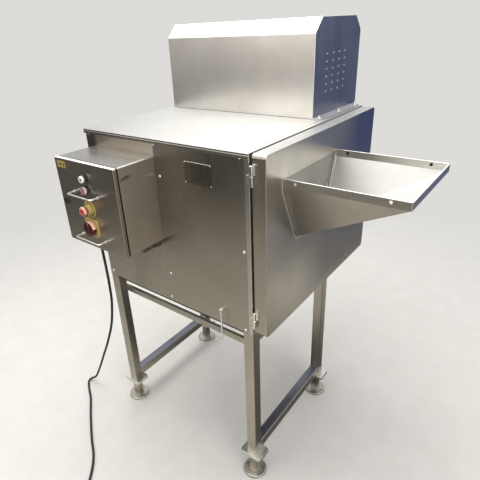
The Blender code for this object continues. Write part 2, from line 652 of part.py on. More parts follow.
def control_bore(z, radius=SHAFT_BORE_R):
    return cylinder("bore", "Y", (CTRL_X, z), 0, -0.2, radius)


def control_bezel(name, z, height, bore_radius):
    bezel = lathe(name, (CTRL_X, FACE, z), MINUS_Y,
                  [(0, 0.0148), (height - 0.002, 0.0148), (height, 0.0135)], BLACK)
    return cut(bezel, control_bore(z, bore_radius))


def start_button():
    return lathe("start_button", (CTRL_X, FACE - 0.0152, BUTTON_Z), PLUS_Y,
                 [(0, 0.0110), (0.0012, 0.0122), (0.0100, 0.0122), (0.0100, SHAFT_R),
                  (0.032, SHAFT_R)], WHITE)


def mode_selector():
    knob = lathe("mode_selector", (CTRL_X, FACE - 0.0120, SELECT_Z), PLUS_Y,
                 [(0, 0.0118), (0.0045, 0.0125), (0.0045, SHAFT_R), (0.030, SHAFT_R)], WHITE)
    return fuse(knob, box("grip", (CTRL_X - 0.003, FACE - 0.0210, SELECT_Z - 0.0110),
                          (CTRL_X + 0.003, FACE - 0.0110, SELECT_Z + 0.0110),
                          bevel=0.0015, segments=1))


def estop_plate():
    plate = lathe("estop_plate", (CTRL_X, FACE, ESTOP_Z), MINUS_Y,
                  [(0, 0.030), (0.002, 0.030), (0.0026, 0.0292)], YELLOW, 20)
    fuse(plate, lathe("collar", (CTRL_X, FACE - 0.001, ESTOP_Z), MINUS_Y,
                      [(0, 0.0165), (0.0125, 0.0165), (0.0140, 0.0150)]))
    return cut(plate, control_bore(ESTOP_Z))


def estop_button():
    return lathe("estop_button", (CTRL_X, FACE - 0.0340, ESTOP_Z), PLUS_Y,
                 [(0, 0.0100), (0.0018, 0.0150), (0.0045, 0.0166), (0.0085, 0.0166),
                  (0.0100, 0.0146), (0.0118, 0.0100), (0.0118, SHAFT_R), (0.0515, SHAFT_R)],
                 RED, 18)


def main_switch_plate():
    half = 0.031
    outline = rounded(CTRL_X - half, SWITCH_Z - half, CTRL_X + half, SWITCH_Z + half, 0.008,
                      steps=3)
    plate = prism("main_switch_plate", outline, "Y", FACE - 0.0075, FACE, YELLOW)
    return cut(plate, control_bore(SWITCH_Z, 0.0058))


def main_switch_knob():
    """Round knob with a recess either side of its grip."""
    knob = lathe("main_switch_knob", (CTRL_X, FACE - 0.0215, SWITCH_Z), PLUS_Y,
                 [(0, 0.0245), (0.0015, 0.0263), (0.0040, 0.0270), (0.0122, 0.0264),
                  (0.0133, 0.0245), (0.0133, 0.0055), (0.0415, 0.0055)], RED, 18)
    return cut(knob, *[box("recess", (CTRL_X + x0, FACE - 0.045, SWITCH_Z - 0.0160),
                           (CTRL_X + x1, FACE - 0.0180, SWITCH_Z + 0.0160),
                           bevel=0.004, segments=1, edges="Y")
                       for x0, x1 in ((0.0065, 0.0180), (-0.0180, -0.0065))])


def box_lock():
    """Round lock with a rectangular key recess and a cam behind the door sheet."""
    lock = lathe("box_lock", (LOCK_X, FACE - 0.0045, LOCK_Z), PLUS_Y,
                 [(0, 0.0115), (0.001, 0.0128), (0.0045, 0.0128), (0.0045, SHAFT_R),
                  (0.0205, SHAFT_R)], BLACK)
    key = [(LOCK_X - 0.004, LOCK_Z - 0.006), (LOCK_X + 0.004, LOCK_Z - 0.006),
           (LOCK_X + 0.004, LOCK_Z + 0.006), (LOCK_X - 0.004, LOCK_Z + 0.006)]
    cut(lock, prism("key", key, "Y", -0.3, FACE - 0.001))
    return fuse(lock, box("cam", (LOCK_X - 0.0075, FACE + 0.0158, LOCK_Z - 0.005),
                          (LOCK_X + 0.0260, FACE + 0.0186, LOCK_Z + 0.005)))


def guard_bar(name, z):
    """Round bar standing off the box door as a flat U."""
    x0, x1, y, bend = -0.589, -0.466, FACE - 0.0285, 0.006
    path = [(x0, FACE, z), (x0, y + bend, z), (x0 + 0.3 * bend, y + 0.3 * bend, z),
            (x0 + bend, y, z), (x1 - bend, y, z), (x1 - 0.3 * bend, y + 0.3 * bend, z),
            (x1, y + bend, z), (x1, FACE, z)]
    return sweep(name, path, 0.0028, CHROME)


def gland(name, place):
    neck = 0.0060 + GAP   # length inside the box wall
    nut = lathe(name, (*place, BOX_Z0 + 0.006), DOWN,
                [(0, 0.0080), (neck, 0.0080), (neck, 0.0135), (0.0115, 0.0135),
                 (0.0115, 0.0118), (0.0270, 0.0118), (0.0300, 0.0085)], BLACK, 14)
    return cut(nut, cylinder("bore", "Z", place, BOX_Z0 + 0.02, BOX_Z0 - 0.05, 0.0052,
                             sides=12))


def motor_gland():
    """Gland with a short conduit from it back to the front panel."""
    x, y = MOTOR_GLAND
    fuse(gland("motor_gland", MOTOR_GLAND),
         cylinder("elbow", "Y", (x, BOX_Z0 - 0.0225), y, -0.0008, 0.0095, sides=12))


CABLE_R = 0.0047
CABLE_Z = -TOP_Z + CABLE_R              # cable lying on the floor
CABLE_PATH = [                          # X, Y, Z, from the power gland to the plug
    (*POWER_GLAND, BOX_Z0 - 0.004), (*POWER_GLAND, -0.430), (-0.606, -0.092, -0.500),
    (-0.614, -0.087, -0.580), (-0.628, -0.082, -0.670), (-0.662, -0.080, -0.790),
    (-0.714, -0.080, -0.905), (-0.772, -0.078, -1.010), (-0.838, -0.074, -1.125),
    (-0.905, -0.066, -1.225), (-0.955, -0.062, -1.2700), (-0.962, -0.080, -1.2800),
    (-0.918, -0.112, CABLE_Z), (-0.862, -0.144, CABLE_Z), (-0.798, -0.192, CABLE_Z),
    (-0.728, -0.242, CABLE_Z), (-0.660, -0.288, CABLE_Z), (-0.600, -0.325, CABLE_Z),
    (-0.556, -0.362, CABLE_Z), (-0.512, -0.412, CABLE_Z), (-0.474, -0.475, CABLE_Z)]
PLUG_Z = -1.2630


def mains_plug():
    """Round plug in line with the end of the cable."""
    along = (Vector(CABLE_PATH[-1]) - Vector(CABLE_PATH[-2])).normalized()
    start = Vector((*CABLE_PATH[-1][:2], PLUG_Z)) + along * 0.004
    plug = lathe("mains_plug", start, along,
                 [(0, 0.0085), (0.012, 0.0125), (0.045, 0.0165), (0.047, 0.0215),
                  (0.098, 0.0215), (0.100, 0.0200)], RED, 18)
    cut(plug, lathe("socket", start + along * 0.060, along, [(0, 0.0185), (0.060, 0.0185)]))


# ---------------------------------------------------------------- front fittings
DRAIN_LEVER_PATH = [                    # X, Y, Z, downwards from the hub
    (-0.116, -0.0165, -0.536), (-0.116, -0.0165, -0.560), (-0.117, -0.0160, -0.640),
    (-0.1175, -0.0160, -0.6565), (-0.1195, -0.0160, -0.6635), (-0.1250, -0.0160, -0.6670),
    (-0.1420, -0.0160, -0.6680)]


def data_plate():
    box("data_plate", (-0.240, -0.0010 - GAP, -0.1215), (-0.1325, -GAP, -0.0530), ETCHED,
        bevel=0.0002, segments=1)


def drain_lever():
    """Bent bar on a hub whose stem runs into the valve."""
    lever = sweep("drain_lever", DRAIN_LEVER_PATH, 0.0025, CHROME)
    return fuse(lever, lathe("hub", (DRAIN_X, -0.0215, DRAIN_STEM_Z), PLUS_Y,
                             [(0, 0.0050), (0.0015, 0.0065), (0.010, 0.0065), (0.010, 0.0050),
                              (0.0565, 0.0050)], sides=12))


def drain_valve():
    outlet = (DRAIN_X, DRAIN_Y)
    valve = box("drain_valve", (DRAIN_X - 0.020, 0.0355, -0.5595),
                (DRAIN_X + 0.020, 0.1300, -0.5185), CAST, bevel=0.006, segments=1, edges="Y")
    fuse(valve, cylinder("outlet", "Z", outlet, -0.54, -0.640, 0.0120))
    cut(valve, cylinder("bore", "Z", outlet, -0.545, -0.66, 0.0095),
        cylinder("stem", "Y", (DRAIN_X, DRAIN_STEM_Z), 0.03, 0.050, 0.0053))


# ---------------------------------------------------------------- conveyor
ROLLER_R, BELT_T = 0.022, 0.003
BELT_Y0, BELT_Y1 = 0.146, 0.380
BEND_STEPS = 12           # belt segments round each roller
FRAME_X0, FRAME_X1 = -0.690, -0.0285


def belt_outline(radius):
    """X, Z loop round both rollers."""
    return [(centre + radius * math.cos(turn), BELT_Z + radius * math.sin(turn))
            for centre, start in ((IDLER_X, 90), (DRIVE_X, 270))
            for turn in (math.radians(start - 180 * k / BEND_STEPS)
                         for k in range(BEND_STEPS + 1))]


def conveyor_belt():
    inner_r = ROLLER_R + GAP
    belt = prism("conveyor_belt", belt_outline(inner_r + BELT_T), "Y", BELT_Y0, BELT_Y1, BLUE)
    cut(belt, prism("inside", belt_outline(inner_r), "Y", BELT_Y0 - 0.01, BELT_Y1 + 0.01))


def roller(name, x, shaft_end):
    shaft_y, shaft_r = 0.1345, 0.0080
    start, end = BELT_Y0 + 0.002 - shaft_y, BELT_Y1 - 0.002 - shaft_y
    return lathe(name, (x, shaft_y, BELT_Z), PLUS_Y,
                 [(0, shaft_r), (start, shaft_r), (start, ROLLER_R), (end, ROLLER_R),
                  (end, shaft_r), (shaft_end - shaft_y, shaft_r)], sides=18)


def conveyor_frame():
    """Two side plates joined by a bed and ties, on four posts with feet."""
    frame = box("conveyor_frame", (FRAME_X0, 0.1355, -0.392), (FRAME_X1, 0.1385, -0.3330))
    post_x = (-0.600, -0.100)
    fuse(frame,
         box("side", (FRAME_X0, 0.3875, -0.392), (FRAME_X1, 0.3905, -0.3330)),
         box("bed", (-0.625, 0.1375, -0.3455), (-0.073, 0.3885, -0.3400)),
         *[box("tie", (x - 0.010, 0.1375, -0.3700), (x + 0.010, 0.3885, -0.3650))
           for x in post_x],
         *[box("post", (x - 0.015, y, PAN_TOP), (x + 0.015, y + 0.0028, -0.380))
           for x in post_x for y in (0.1356, 0.3876)],
         *[box("foot", (x - 0.015, y, PAN_TOP), (x + 0.015, y + 0.025, PAN_TOP + 0.003))
           for x in post_x for y in (0.1356, 0.3656)])
    cut(frame, *[cylinder("bearing", "Y", (x, BELT_Z), 0.12, 0.40, 0.0084)
                 for x in (IDLER_X, DRIVE_X)])


def conveyor_gearmotor():
    gearbox = box("conveyor_gearmotor", (DRIVE_X - 0.034, 0.4555, BELT_Z - 0.040),
                  (DRIVE_X + 0.034, 0.535, BELT_Z + 0.040), CAST, bevel=0.006, segments=1)
    fuse(gearbox, lathe("motor", (DRIVE_X + 0.03, 0.500, BELT_Z), PLUS_X,
                        [(0, 0.030), (0.012, 0.030), (0.012, 0.034), (0.135, 0.034),
                         (0.142, 0.028)], sides=20))
    cut(gearbox, cylinder("bore", "Y", (DRIVE_X, BELT_Z), 0.44, 0.4810, 0.0083))


# ---------------------------------------------------------------- needle head and lift
HEAD_TOP, HEAD_LOW = -0.040, -0.075
NEEDLE_L, NEEDLE_R = 0.130, 0.0018
NEEDLES = [(HEAD_X + 0.045 * (i - 1), HEAD_Y + 0.0235 * (j - 3.5))      # X, Y of 3 by 8
           for i in range(3) for j in range(8)]
COLUMN_R = 0.0125
COLUMN_X = {"left": HEAD_X - 0.110, "right": HEAD_X + 0.110}
PINION_TEETH, MODULE = 20, 0.0025
PINION_R = PINION_TEETH * MODULE / 2
TOOTH_PITCH = math.pi * MODULE
PRESSURE_ANGLE = math.radians(20)
ADDENDUM, DEDENDUM = MODULE, 1.25 * MODULE
BACKLASH = 0.0009
RACK_Y = 0.6045           # pitch line of the rack
RACK_BACK_Y = 0.5903      # flat face of the rack, against the carriage
RACK_TEETH = 23
PINION_Y, PINION_Z = RACK_Y + PINION_R, 0.040
RACK_Z0 = PINION_Z - 3 * TOOTH_PITCH    # centre of the lowest tooth


def needle_manifold():
    root = 0.004          # length of a needle inside the block
    block = box("needle_manifold", (HEAD_X - 0.095, HEAD_Y - 0.105, HEAD_LOW),
                (HEAD_X + 0.095, HEAD_Y + 0.105, HEAD_TOP), bevel=0.004, segments=1)
    profile = [(0, NEEDLE_R), (root + NEEDLE_L - 0.010, NEEDLE_R), (root + NEEDLE_L, 0.0004)]
    return fuse(block, *[lathe("needle", (x, y, HEAD_LOW + root), DOWN, profile, sides=5)
                         for x, y in NEEDLES])


def head_arms():
    """Two arms over the manifold, joined by two cross pieces."""
    arms = [box("arms", (HEAD_X + x0, HEAD_Y - 0.090, HEAD_TOP + GAP),
                (HEAD_X + x1, 0.5330, HEAD_TOP + 0.020))
            for x0, x1 in ((-0.074, -0.046), (0.046, 0.074))]
    crosses = [box("cross", (HEAD_X - 0.050, HEAD_Y + y0, HEAD_TOP + 0.001),
                   (HEAD_X + 0.050, HEAD_Y + y1, HEAD_TOP + 0.0185))
               for y0, y1 in ((-0.080, -0.050), (0.060, 0.090))]
    return fuse(*arms, *crosses)


def lift_carriage():
    """Block sliding on the two columns, carrying the arms."""
    carriage = box("lift_carriage", (HEAD_X - 0.145, 0.5320, -0.075),
                   (HEAD_X + 0.145, 0.5900, 0.105), CAST)
    cut(carriage,
        *[cylinder("bush", "Z", (x, COLUMN_Y), -0.1, 0.2, COLUMN_R + 0.0004)
          for x in COLUMN_X.values()],
        *[box("relief", (HEAD_X - 0.070, 0.52, z0), (HEAD_X + 0.070, 0.5560, z1))
          for z0, z1 in ((0.005, 0.12), (-0.09, -0.050))])
    return fuse(carriage, head_arms())


def guide_columns():
    for side, x in COLUMN_X.items():
        cylinder(f"guide_column_{side}", "Z", (x, COLUMN_Y), PAN_TOP, 0.262, COLUMN_R, CHROME,
                 sides=12)


def column_bridge():
    bridge = box("column_bridge", (HEAD_X - 0.135, COLUMN_Y - 0.022, 0.2450),
                 (HEAD_X + 0.135, COLUMN_Y + 0.022, 0.2600))
    cut(bridge, *[cylinder("seat", "Z", (x, COLUMN_Y), 0.2, 0.3, COLUMN_R + GAP)
                  for x in COLUMN_X.values()])


def lift_rack():
    """Rack with straight-flanked teeth pointing towards +Y."""
    half, lean = TOOTH_PITCH / 4 - BACKLASH / 2, math.tan(PRESSURE_ANGLE)
    root_half, tip_half = half + DEDENDUM * lean, half - ADDENDUM * lean
    outline = [(RACK_BACK_Y, RACK_Z0 - TOOTH_PITCH / 2)]
    for k in range(RACK_TEETH):
        z = RACK_Z0 + k * TOOTH_PITCH
        outline += [(RACK_Y - DEDENDUM, z - root_half), (RACK_Y + ADDENDUM, z - tip_half),
                    (RACK_Y + ADDENDUM, z + tip_half), (RACK_Y - DEDENDUM, z + root_half)]
    outline.append((RACK_BACK_Y, RACK_Z0 + (RACK_TEETH - 0.5) * TOOTH_PITCH))
    return prism("lift_rack", outline, "X", HEAD_X - 0.010, HEAD_X + 0.010)


def pinion_outline():
    """Y, Z outline with involute teeth and a tooth gap pointing towards -Y."""
    base_r = PINION_R * math.cos(PRESSURE_ANGLE)

    def involute(radius):
        angle = math.acos(base_r / radius)
        return math.tan(angle) - angle

    half = (math.pi / 2 / PINION_TEETH) - BACKLASH / 2 / PINION_R + involute(PINION_R)
    # One flank from root to tip: radius, angle from the tooth's middle.
    flank = [(PINION_R - DEDENDUM, half)]
    flank += [(radius, half - involute(radius))
              for radius in (base_r + 0.0002, PINION_R, PINION_R + ADDENDUM)]
    polar = []
    for k in range(PINION_TEETH):
        middle = math.pi + 2 * math.pi * (k + 0.5) / PINION_TEETH
        polar += [(radius, middle - angle) for radius, angle in flank]
        polar += [(radius, middle + angle) for radius, angle in reversed(flank)]
    return [(PINION_Y + radius * math.cos(turn), PINION_Z + radius * math.sin(turn))
            for radius, turn in polar]


def lift_pinion():
    pinion = prism("lift_pinion", pinion_outline(), "X", HEAD_X - 0.009, HEAD_X + 0.009)
    return fuse(pinion, cylinder("shaft", "X", (PINION_Y, PINION_Z), HEAD_X - 0.014,
                                 HEAD_X + 0.050, 0.0090))


def lift_gearmotor():
    gearbox = box("lift_gearmotor", (HEAD_X + 0.0300, PINION_Y - 0.036, PINION_Z - 0.036),
                  (HEAD_X + 0.105, PINION_Y + 0.060, PINION_Z + 0.060), CAST,
                  bevel=0.008, segments=1)
    fuse(gearbox,
         lathe("motor", (HEAD_X + 0.097, PINION_Y + 0.013, PINION_Z + 0.0125), PLUS_X,
               [(0, 0.039), (0.015, 0.039), (0.015, 0.0475), (0.168, 0.0475), (0.178, 0.040)],
               sides=18),
         box("foot", (HEAD_X + 0.2200, PINION_Y - 0.030, 0.0006),
             (HEAD_X + 0.2550, PINION_Y + 0.055, 0.0150)))
    cut(gearbox, cylinder("bore", "X", (PINION_Y, PINION_Z), HEAD_X + 0.02, HEAD_X + 0.051,
                          0.0093))


STRIP_TOP, STRIP_LOW = -0.2090, -0.2170


def stripper_plate():
    """Plate the needles pass through, hanging on two rods."""
    plate = box("stripper_plate", (HEAD_X - 0.105, HEAD_Y - 0.112, STRIP_LOW),
                (HEAD_X + 0.105, HEAD_Y + 0.112, STRIP_TOP), GUIDE_PLASTIC,
                bevel=0.006, segments=1, edges="Z")
    cut(plate, *[cylinder("needle_hole", "Z", place, -0.3, -0.1, 0.0038, sides=5)
                 for place in NEEDLES])
    lug_in, lug_out = 0.099, HANG_X + 0.010
    fuse(plate, *[box("lug", (HEAD_X + x0, HANG_Y - 0.010, STRIP_LOW + 0.001),
                      (HEAD_X + x1, HANG_Y + 0.010, STRIP_TOP - 0.001))
                  for x0, x1 in ((-lug_out, -lug_in), (lug_in, lug_out))])
    return fuse(plate, *[cylinder("rod", "Z", (HEAD_X + side * HANG_X, HANG_Y),
                                  STRIP_TOP - 0.004, -0.0320, 0.0045, sides=12)
                         for side in (-1, 1)])


# ---------------------------------------------------------------- brine pump and telescopic feed
PUMP_Z = -0.5400


def brine_feed_inner():
    """Tube sliding in the pump's riser, with an elbow forward to the head."""
    tube = cylinder("brine_feed_inner", "Z", (HEAD_X, FEED_Y), -0.4300, HEAD_TOP + 0.0105,
                    0.0070, CHROME, sides=12)
    return fuse(tube, cylinder("elbow", "Y", (HEAD_X, HEAD_TOP + 0.0095), FEED_Y + 0.004,
                               HEAD_Y + 0.091, 0.0068))


def brine_pump():
    pump = lathe("brine_pump", (HEAD_X + 0.062, FEED_Y, PUMP_Z), PLUS_X,
                 [(0, 0.036), (0.006, 0.042), (0.040, 0.042), (0.046, 0.030), (0.060, 0.030)])
    fuse(pump, cylinder("pipe", "X", (FEED_Y, PUMP_Z), HEAD_X, HEAD_X + 0.07, 0.0095),
         cylinder("riser", "Z", (HEAD_X, FEED_Y), -0.5700, -0.2600, 0.0115),
         box("foot", (HEAD_X + 0.075, FEED_Y - 0.025, PAN_TOP),
             (HEAD_X + 0.095, FEED_Y + 0.025, -0.560)))
    cut(pump, cylinder("bore", "Z", (HEAD_X, FEED_Y), -0.5600, -0.2, 0.0076))


def pump_motor():
    motor = lathe("pump_motor", (HEAD_X + 0.1223, FEED_Y, PUMP_Z), PLUS_X,
                  [(0, 0.043), (0.012, 0.047), (0.160, 0.047), (0.172, 0.039)], CAST)
    fuse(motor, box("foot", (HEAD_X + 0.145, FEED_Y - 0.035, PAN_TOP),
                    (HEAD_X + 0.255, FEED_Y + 0.035, -0.560)))


# ---------------------------------------------------------------- assembly
def fixed_pieces():
    for build in (stand_frame, feet, front_panel, left_panel, rear_shell, base_pan, top_panel,
                  bulkhead, outfeed_chute, hood, control_box, motor_gland, mains_plug,
                  data_plate, drain_valve, conveyor_belt, conveyor_frame, conveyor_gearmotor,
                  guide_columns, column_bridge, lift_gearmotor, brine_pump, pump_motor):
        build()
    for name, mid_z in HINGES:
        hinge_fixed_half(name, mid_z)
    gland("power_gland", POWER_GLAND)
    sweep("power_cable", CABLE_PATH, CABLE_R, RUBBER, sides=6, smooth_steps=2)


def side_door_joints():
    door = pivot("main_door_axis", (HINGE_X, HINGE_Y, -0.3), main_door(), door_gasket(),
                 infeed_chute(), *[hinge_door_half(name, mid_z) for name, mid_z in HINGES])
    pivot("infeed_flap_axis", (FLAP_X, (CHUTE_Y0 + CHUTE_Y1) / 2, FLAP_Z), infeed_flap(),
          parent=door)
    pivot("door_latch_axis", (LATCH_X, LATCH_Y, DOOR_Z0), door_latch(), parent=door)


def control_box_joints():
    door = pivot("control_box_door_axis", (BOX_X1 + 0.0012, BOX_Y + 0.0065, LOCK_Z),
                 control_box_door(), control_box_seal(),
                 control_bezel("button_bezel", BUTTON_Z, 0.009, 0.0128),
                 control_bezel("selector_bezel", SELECT_Z, 0.007, SHAFT_BORE_R),
                 estop_plate(), main_switch_plate(),
                 guard_bar("upper_guard_bar", -0.1625), guard_bar("lower_guard_bar", -0.3180))
    for name, x, z, piece in (("start_button", CTRL_X, BUTTON_Z, start_button()),
                              ("mode_selector", CTRL_X, SELECT_Z, mode_selector()),
                              ("estop", CTRL_X, ESTOP_Z, estop_button()),
                              ("main_switch", CTRL_X, SWITCH_Z, main_switch_knob()),
                              ("box_lock", LOCK_X, LOCK_Z, box_lock())):
        pivot(f"{name}_axis", (x, BOX_Y, z), piece, parent=door)


def machine_joints():
    pivot("drain_lever_axis", (DRAIN_X, 0.0, DRAIN_STEM_Z), drain_lever())
    pivot("idler_axis", (IDLER_X, HEAD_Y, BELT_Z), roller("idler_roller", IDLER_X, 0.3915))
    pivot("drive_axis", (DRIVE_X, HEAD_Y, BELT_Z), roller("drive_roller", DRIVE_X, 0.4800))
    pivot("needle_head_axis", (HEAD_X, COLUMN_Y, 0.0), needle_manifold(), lift_carriage(),
          lift_rack(), brine_feed_inner())
    pivot("lift_pinion_axis", (HEAD_X, PINION_Y, PINION_Z), lift_pinion())
    pivot("stripper_axis", (HEAD_X, HANG_Y, STRIP_TOP), stripper_plate())


fixed_pieces()
side_door_joints()
control_box_joints()
machine_joints()
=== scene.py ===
"""A brine injector: a sheet-steel housing on a four-legged stand, with a belt conveyor, a needle
head and its lift, a brine pump, a side door with a scoop, and a control box on the front.

Metres. -Y is the front, +X the infeed (door) side, -X the outfeed side, +Z up. Places are in a
machine grid whose zero is the housing's front, infeed-side, top corner.
"""
import math

import bmesh
import bpy
from mathutils import Matrix, Vector


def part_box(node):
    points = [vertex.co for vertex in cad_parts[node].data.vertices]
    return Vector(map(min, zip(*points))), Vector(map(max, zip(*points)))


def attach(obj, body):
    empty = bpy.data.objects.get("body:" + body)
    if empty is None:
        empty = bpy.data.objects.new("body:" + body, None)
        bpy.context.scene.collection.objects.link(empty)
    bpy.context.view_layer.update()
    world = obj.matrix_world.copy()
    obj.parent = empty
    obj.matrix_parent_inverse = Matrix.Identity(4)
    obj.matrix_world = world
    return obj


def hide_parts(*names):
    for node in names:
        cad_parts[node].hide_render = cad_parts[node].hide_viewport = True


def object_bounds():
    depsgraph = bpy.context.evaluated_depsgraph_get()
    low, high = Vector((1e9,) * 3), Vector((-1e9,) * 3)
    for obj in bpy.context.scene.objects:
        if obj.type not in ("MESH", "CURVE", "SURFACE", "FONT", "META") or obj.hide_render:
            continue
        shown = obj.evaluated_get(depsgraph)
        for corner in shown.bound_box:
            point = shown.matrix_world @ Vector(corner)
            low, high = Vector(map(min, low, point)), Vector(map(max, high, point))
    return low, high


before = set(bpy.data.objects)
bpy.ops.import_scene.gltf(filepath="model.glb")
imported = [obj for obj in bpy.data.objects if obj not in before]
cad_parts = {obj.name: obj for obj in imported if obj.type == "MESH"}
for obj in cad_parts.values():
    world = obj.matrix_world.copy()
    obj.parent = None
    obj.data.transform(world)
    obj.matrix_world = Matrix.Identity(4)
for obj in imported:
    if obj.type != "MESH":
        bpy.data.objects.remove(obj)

CAD_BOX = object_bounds()
ORIGIN = Vector((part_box("front_panel")[1].x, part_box("front_panel")[0].y,
                 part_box("main_door")[1].z))

LEFT, RIGHT = (-1, 0, 0), (1, 0, 0)
FORWARD, BACKWARD = (0, -1, 0), (0, 1, 0)
DOWN, UP = (0, 0, -1), (0, 0, 1)

# Driving dimensions
SHEET = 0.002
LEFT_X, REAR_Y, BASE_Z = -0.715, 0.775, -0.603  # outfeed side, back and underside of the housing
HOOD_X0, HOOD_X1, HOOD_Y0, HOOD_Y1, HOOD_Z = -0.705, -0.050, 0.456, 0.822, 0.318
BOX_X0, BOX_X1, BOX_Z0, BOX_Z1 = -0.6695, -0.3705, -0.3545, -0.0565  # control box


def grid_point(x, y, z):
    return ORIGIN + Vector((x, y, z))


def grid_box(node):
    """A CAD node's box in the machine grid."""
    lo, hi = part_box(node)
    return lo - ORIGIN, hi - ORIGIN


# ================================================================= materials
class Nodes:
    """Adds linked shader nodes to one tree."""

    def __init__(self, tree):
        self.tree = tree

    def add(self, kind, **settings):
        node = self.tree.nodes.new(kind)
        for key, value in settings.items():
            setattr(node, key, value)
        return node

    def link(self, source, target):
        self.tree.links.new(source, target)

    def feed(self, socket, value):
        """Links the socket to another, or sets its constant."""
        if isinstance(value, bpy.types.NodeSocket):
            self.link(value, socket)
        else:
            socket.default_value = value

    def position(self):
        return self.add("ShaderNodeTexCoord").outputs["Object"]

    def coords(self, scale):
        place = self.position()
        mapping = self.add("ShaderNodeMapping")
        mapping.inputs["Scale"].default_value = scale
        self.link(place, mapping.inputs["Vector"])
        return mapping.outputs["Vector"]

    def noise(self, scale, detail=3.0, rough=0.6, distortion=0.0):
        """scale is one number, or one for each axis."""
        node = self.add("ShaderNodeTexNoise")
        node.inputs["Scale"].default_value = 1.0
        node.inputs["Detail"].default_value = detail
        node.inputs["Roughness"].default_value = rough
        node.inputs["Distortion"].default_value = distortion
        scale = scale if isinstance(scale, tuple) else (scale,) * 3
        self.link(self.coords(scale), node.inputs["Vector"])
        return node.outputs["Fac"]

    def math(self, operation, first, second=None):
        node = self.add("ShaderNodeMath", operation=operation)
        self.feed(node.inputs[0], first)
        if second is not None:
            self.feed(node.inputs[1], second)
        return node.outputs[0]

    def vector(self, operation, first, second=None, output="Value"):
        node = self.add("ShaderNodeVectorMath", operation=operation)
        self.feed(node.inputs[0], first)
        if second is not None:
            self.feed(node.inputs[1], second)
        return node.outputs[output]

    def remap(self, value, span, to=(0.0, 1.0)):
        node = self.add("ShaderNodeMapRange", clamp=True)
        self.link(value, node.inputs["Value"])
        for key, number in zip(("From Min", "From Max", "To Min", "To Max"), (*span, *to)):
            node.inputs[key].default_value = number
        return node.outputs["Result"]

    def mix(self, factor, first, second, blend="MIX"):
        node = self.add("ShaderNodeMix", data_type="RGBA", blend_type=blend)
        self.feed(node.inputs[0], factor)
        for socket, value in ((node.inputs[6], first), (node.inputs[7], second)):
            self.feed(socket, (*value, 1.0) if isinstance(value, tuple) else value)
        return node.outputs[2]

    def bump(self, height, strength, distance, normal=None):
        node = self.add("ShaderNodeBump")
        node.inputs["Strength"].default_value = strength
        node.inputs["Distance"].default_value = distance
        self.link(height, node.inputs["Height"])
        if normal is not None:
            self.link(normal, node.inputs["Normal"])
        return node.outputs["Normal"]


MATERIALS = {}


def new_material(name):
    material = bpy.data.materials.new(name)
    material.use_nodes = True
    MATERIALS[name] = material
    tree = material.node_tree
    return Nodes(tree), tree.nodes["Principled BSDF"].inputs


def scaled(colour, factor):
    return tuple(min(1.0, c * factor) for c in colour)


def steel(name, base, rough, grain, streak, blotch, wave, smudge):
    """Brushed stainless sheet: grain along one axis, stains, finger marks, slightly wavy."""
    nodes, shader = new_material(name)

    def along_grain(along, across):
        return tuple(along if axis == grain else across for axis in "XYZ")

    coarse = nodes.noise(along_grain(along=3.5, across=310.0), detail=4.0, rough=0.65)
    fine = nodes.noise(along_grain(along=14.0, across=1500.0), detail=2.0)
    brushed = nodes.math("ADD", nodes.math("MULTIPLY", coarse, 0.62),
                         nodes.math("MULTIPLY", fine, 0.38))
    stains = nodes.noise(7.0, detail=5.0, rough=0.62, distortion=0.4)
    clouds = nodes.noise(1.7, rough=0.5)
    wipe_scale = (26.0, 26.0, 9.0) if grain == "Z" else (9.0, 26.0, 26.0)
    wiped = nodes.noise(wipe_scale, rough=0.5, distortion=1.2)

    colour = nodes.mix(nodes.remap(brushed, span=(0.30, 0.70)),
                       scaled(base, 1 - streak), scaled(base, 1 + streak))
    stain_tint = (1 - blotch, 1 - blotch * 1.1, 1 - blotch * 1.35)
    stain = nodes.mix(nodes.remap(stains, span=(0.35, 0.70)), (1.0, 1.0, 1.0), stain_tint)
    colour = nodes.mix(1.0, colour, stain, "MULTIPLY")
    cloud = nodes.mix(nodes.remap(clouds, span=(0.3, 0.7)),
                      (1 - blotch * 0.6,) * 3, (1.0, 1.0, 1.0))
    colour = nodes.mix(1.0, colour, cloud, "MULTIPLY")
    nodes.link(colour, shader["Base Color"])
    shader["Metallic"].default_value = 1.0
    shader["Anisotropic"].default_value = 0.6

    marks = nodes.math("ADD", nodes.remap(stains, span=(0.4, 0.75), to=(0.0, 0.07)),
                       nodes.remap(wiped, span=(0.55, 0.75), to=(0.0, -0.06 * smudge)))
    brush_rough = nodes.remap(brushed, span=(0.3, 0.7), to=(rough - 0.06, rough + 0.07))
    nodes.link(nodes.math("ADD", brush_rough, marks), shader["Roughness"])
    normal = nodes.bump(clouds, strength=wave, distance=0.012)
    normal = nodes.bump(brushed, strength=0.035, distance=0.0004, normal=normal)
    nodes.link(normal, shader["Normal"])

    # the grain follows one axis; on faces square to it, it follows another one
    facing = nodes.add("ShaderNodeNewGeometry").outputs["True Normal"]

    def world_axis(letter):
        axis = nodes.add("ShaderNodeCombineXYZ")
        axis.inputs["XYZ".index(letter)].default_value = 1.0
        turn = nodes.add("ShaderNodeVectorTransform", vector_type="VECTOR",
                         convert_from="OBJECT", convert_to="WORLD")
        nodes.link(axis.outputs[0], turn.inputs[0])
        return turn.outputs[0]

    main_axis = world_axis(grain)
    other_axis = world_axis("Y" if grain == "X" else "X")
    cosine = nodes.math("ABSOLUTE", nodes.vector("DOT_PRODUCT", facing, main_axis))
    choose = nodes.add("ShaderNodeMix", data_type="VECTOR")
    nodes.link(nodes.math("GREATER_THAN", cosine, 0.85), choose.inputs[0])
    nodes.link(main_axis, choose.inputs[4])
    nodes.link(other_axis, choose.inputs[5])
    tangent = nodes.vector("CROSS_PRODUCT", facing, choose.outputs[1], output="Vector")
    nodes.link(tangent, shader["Tangent"])


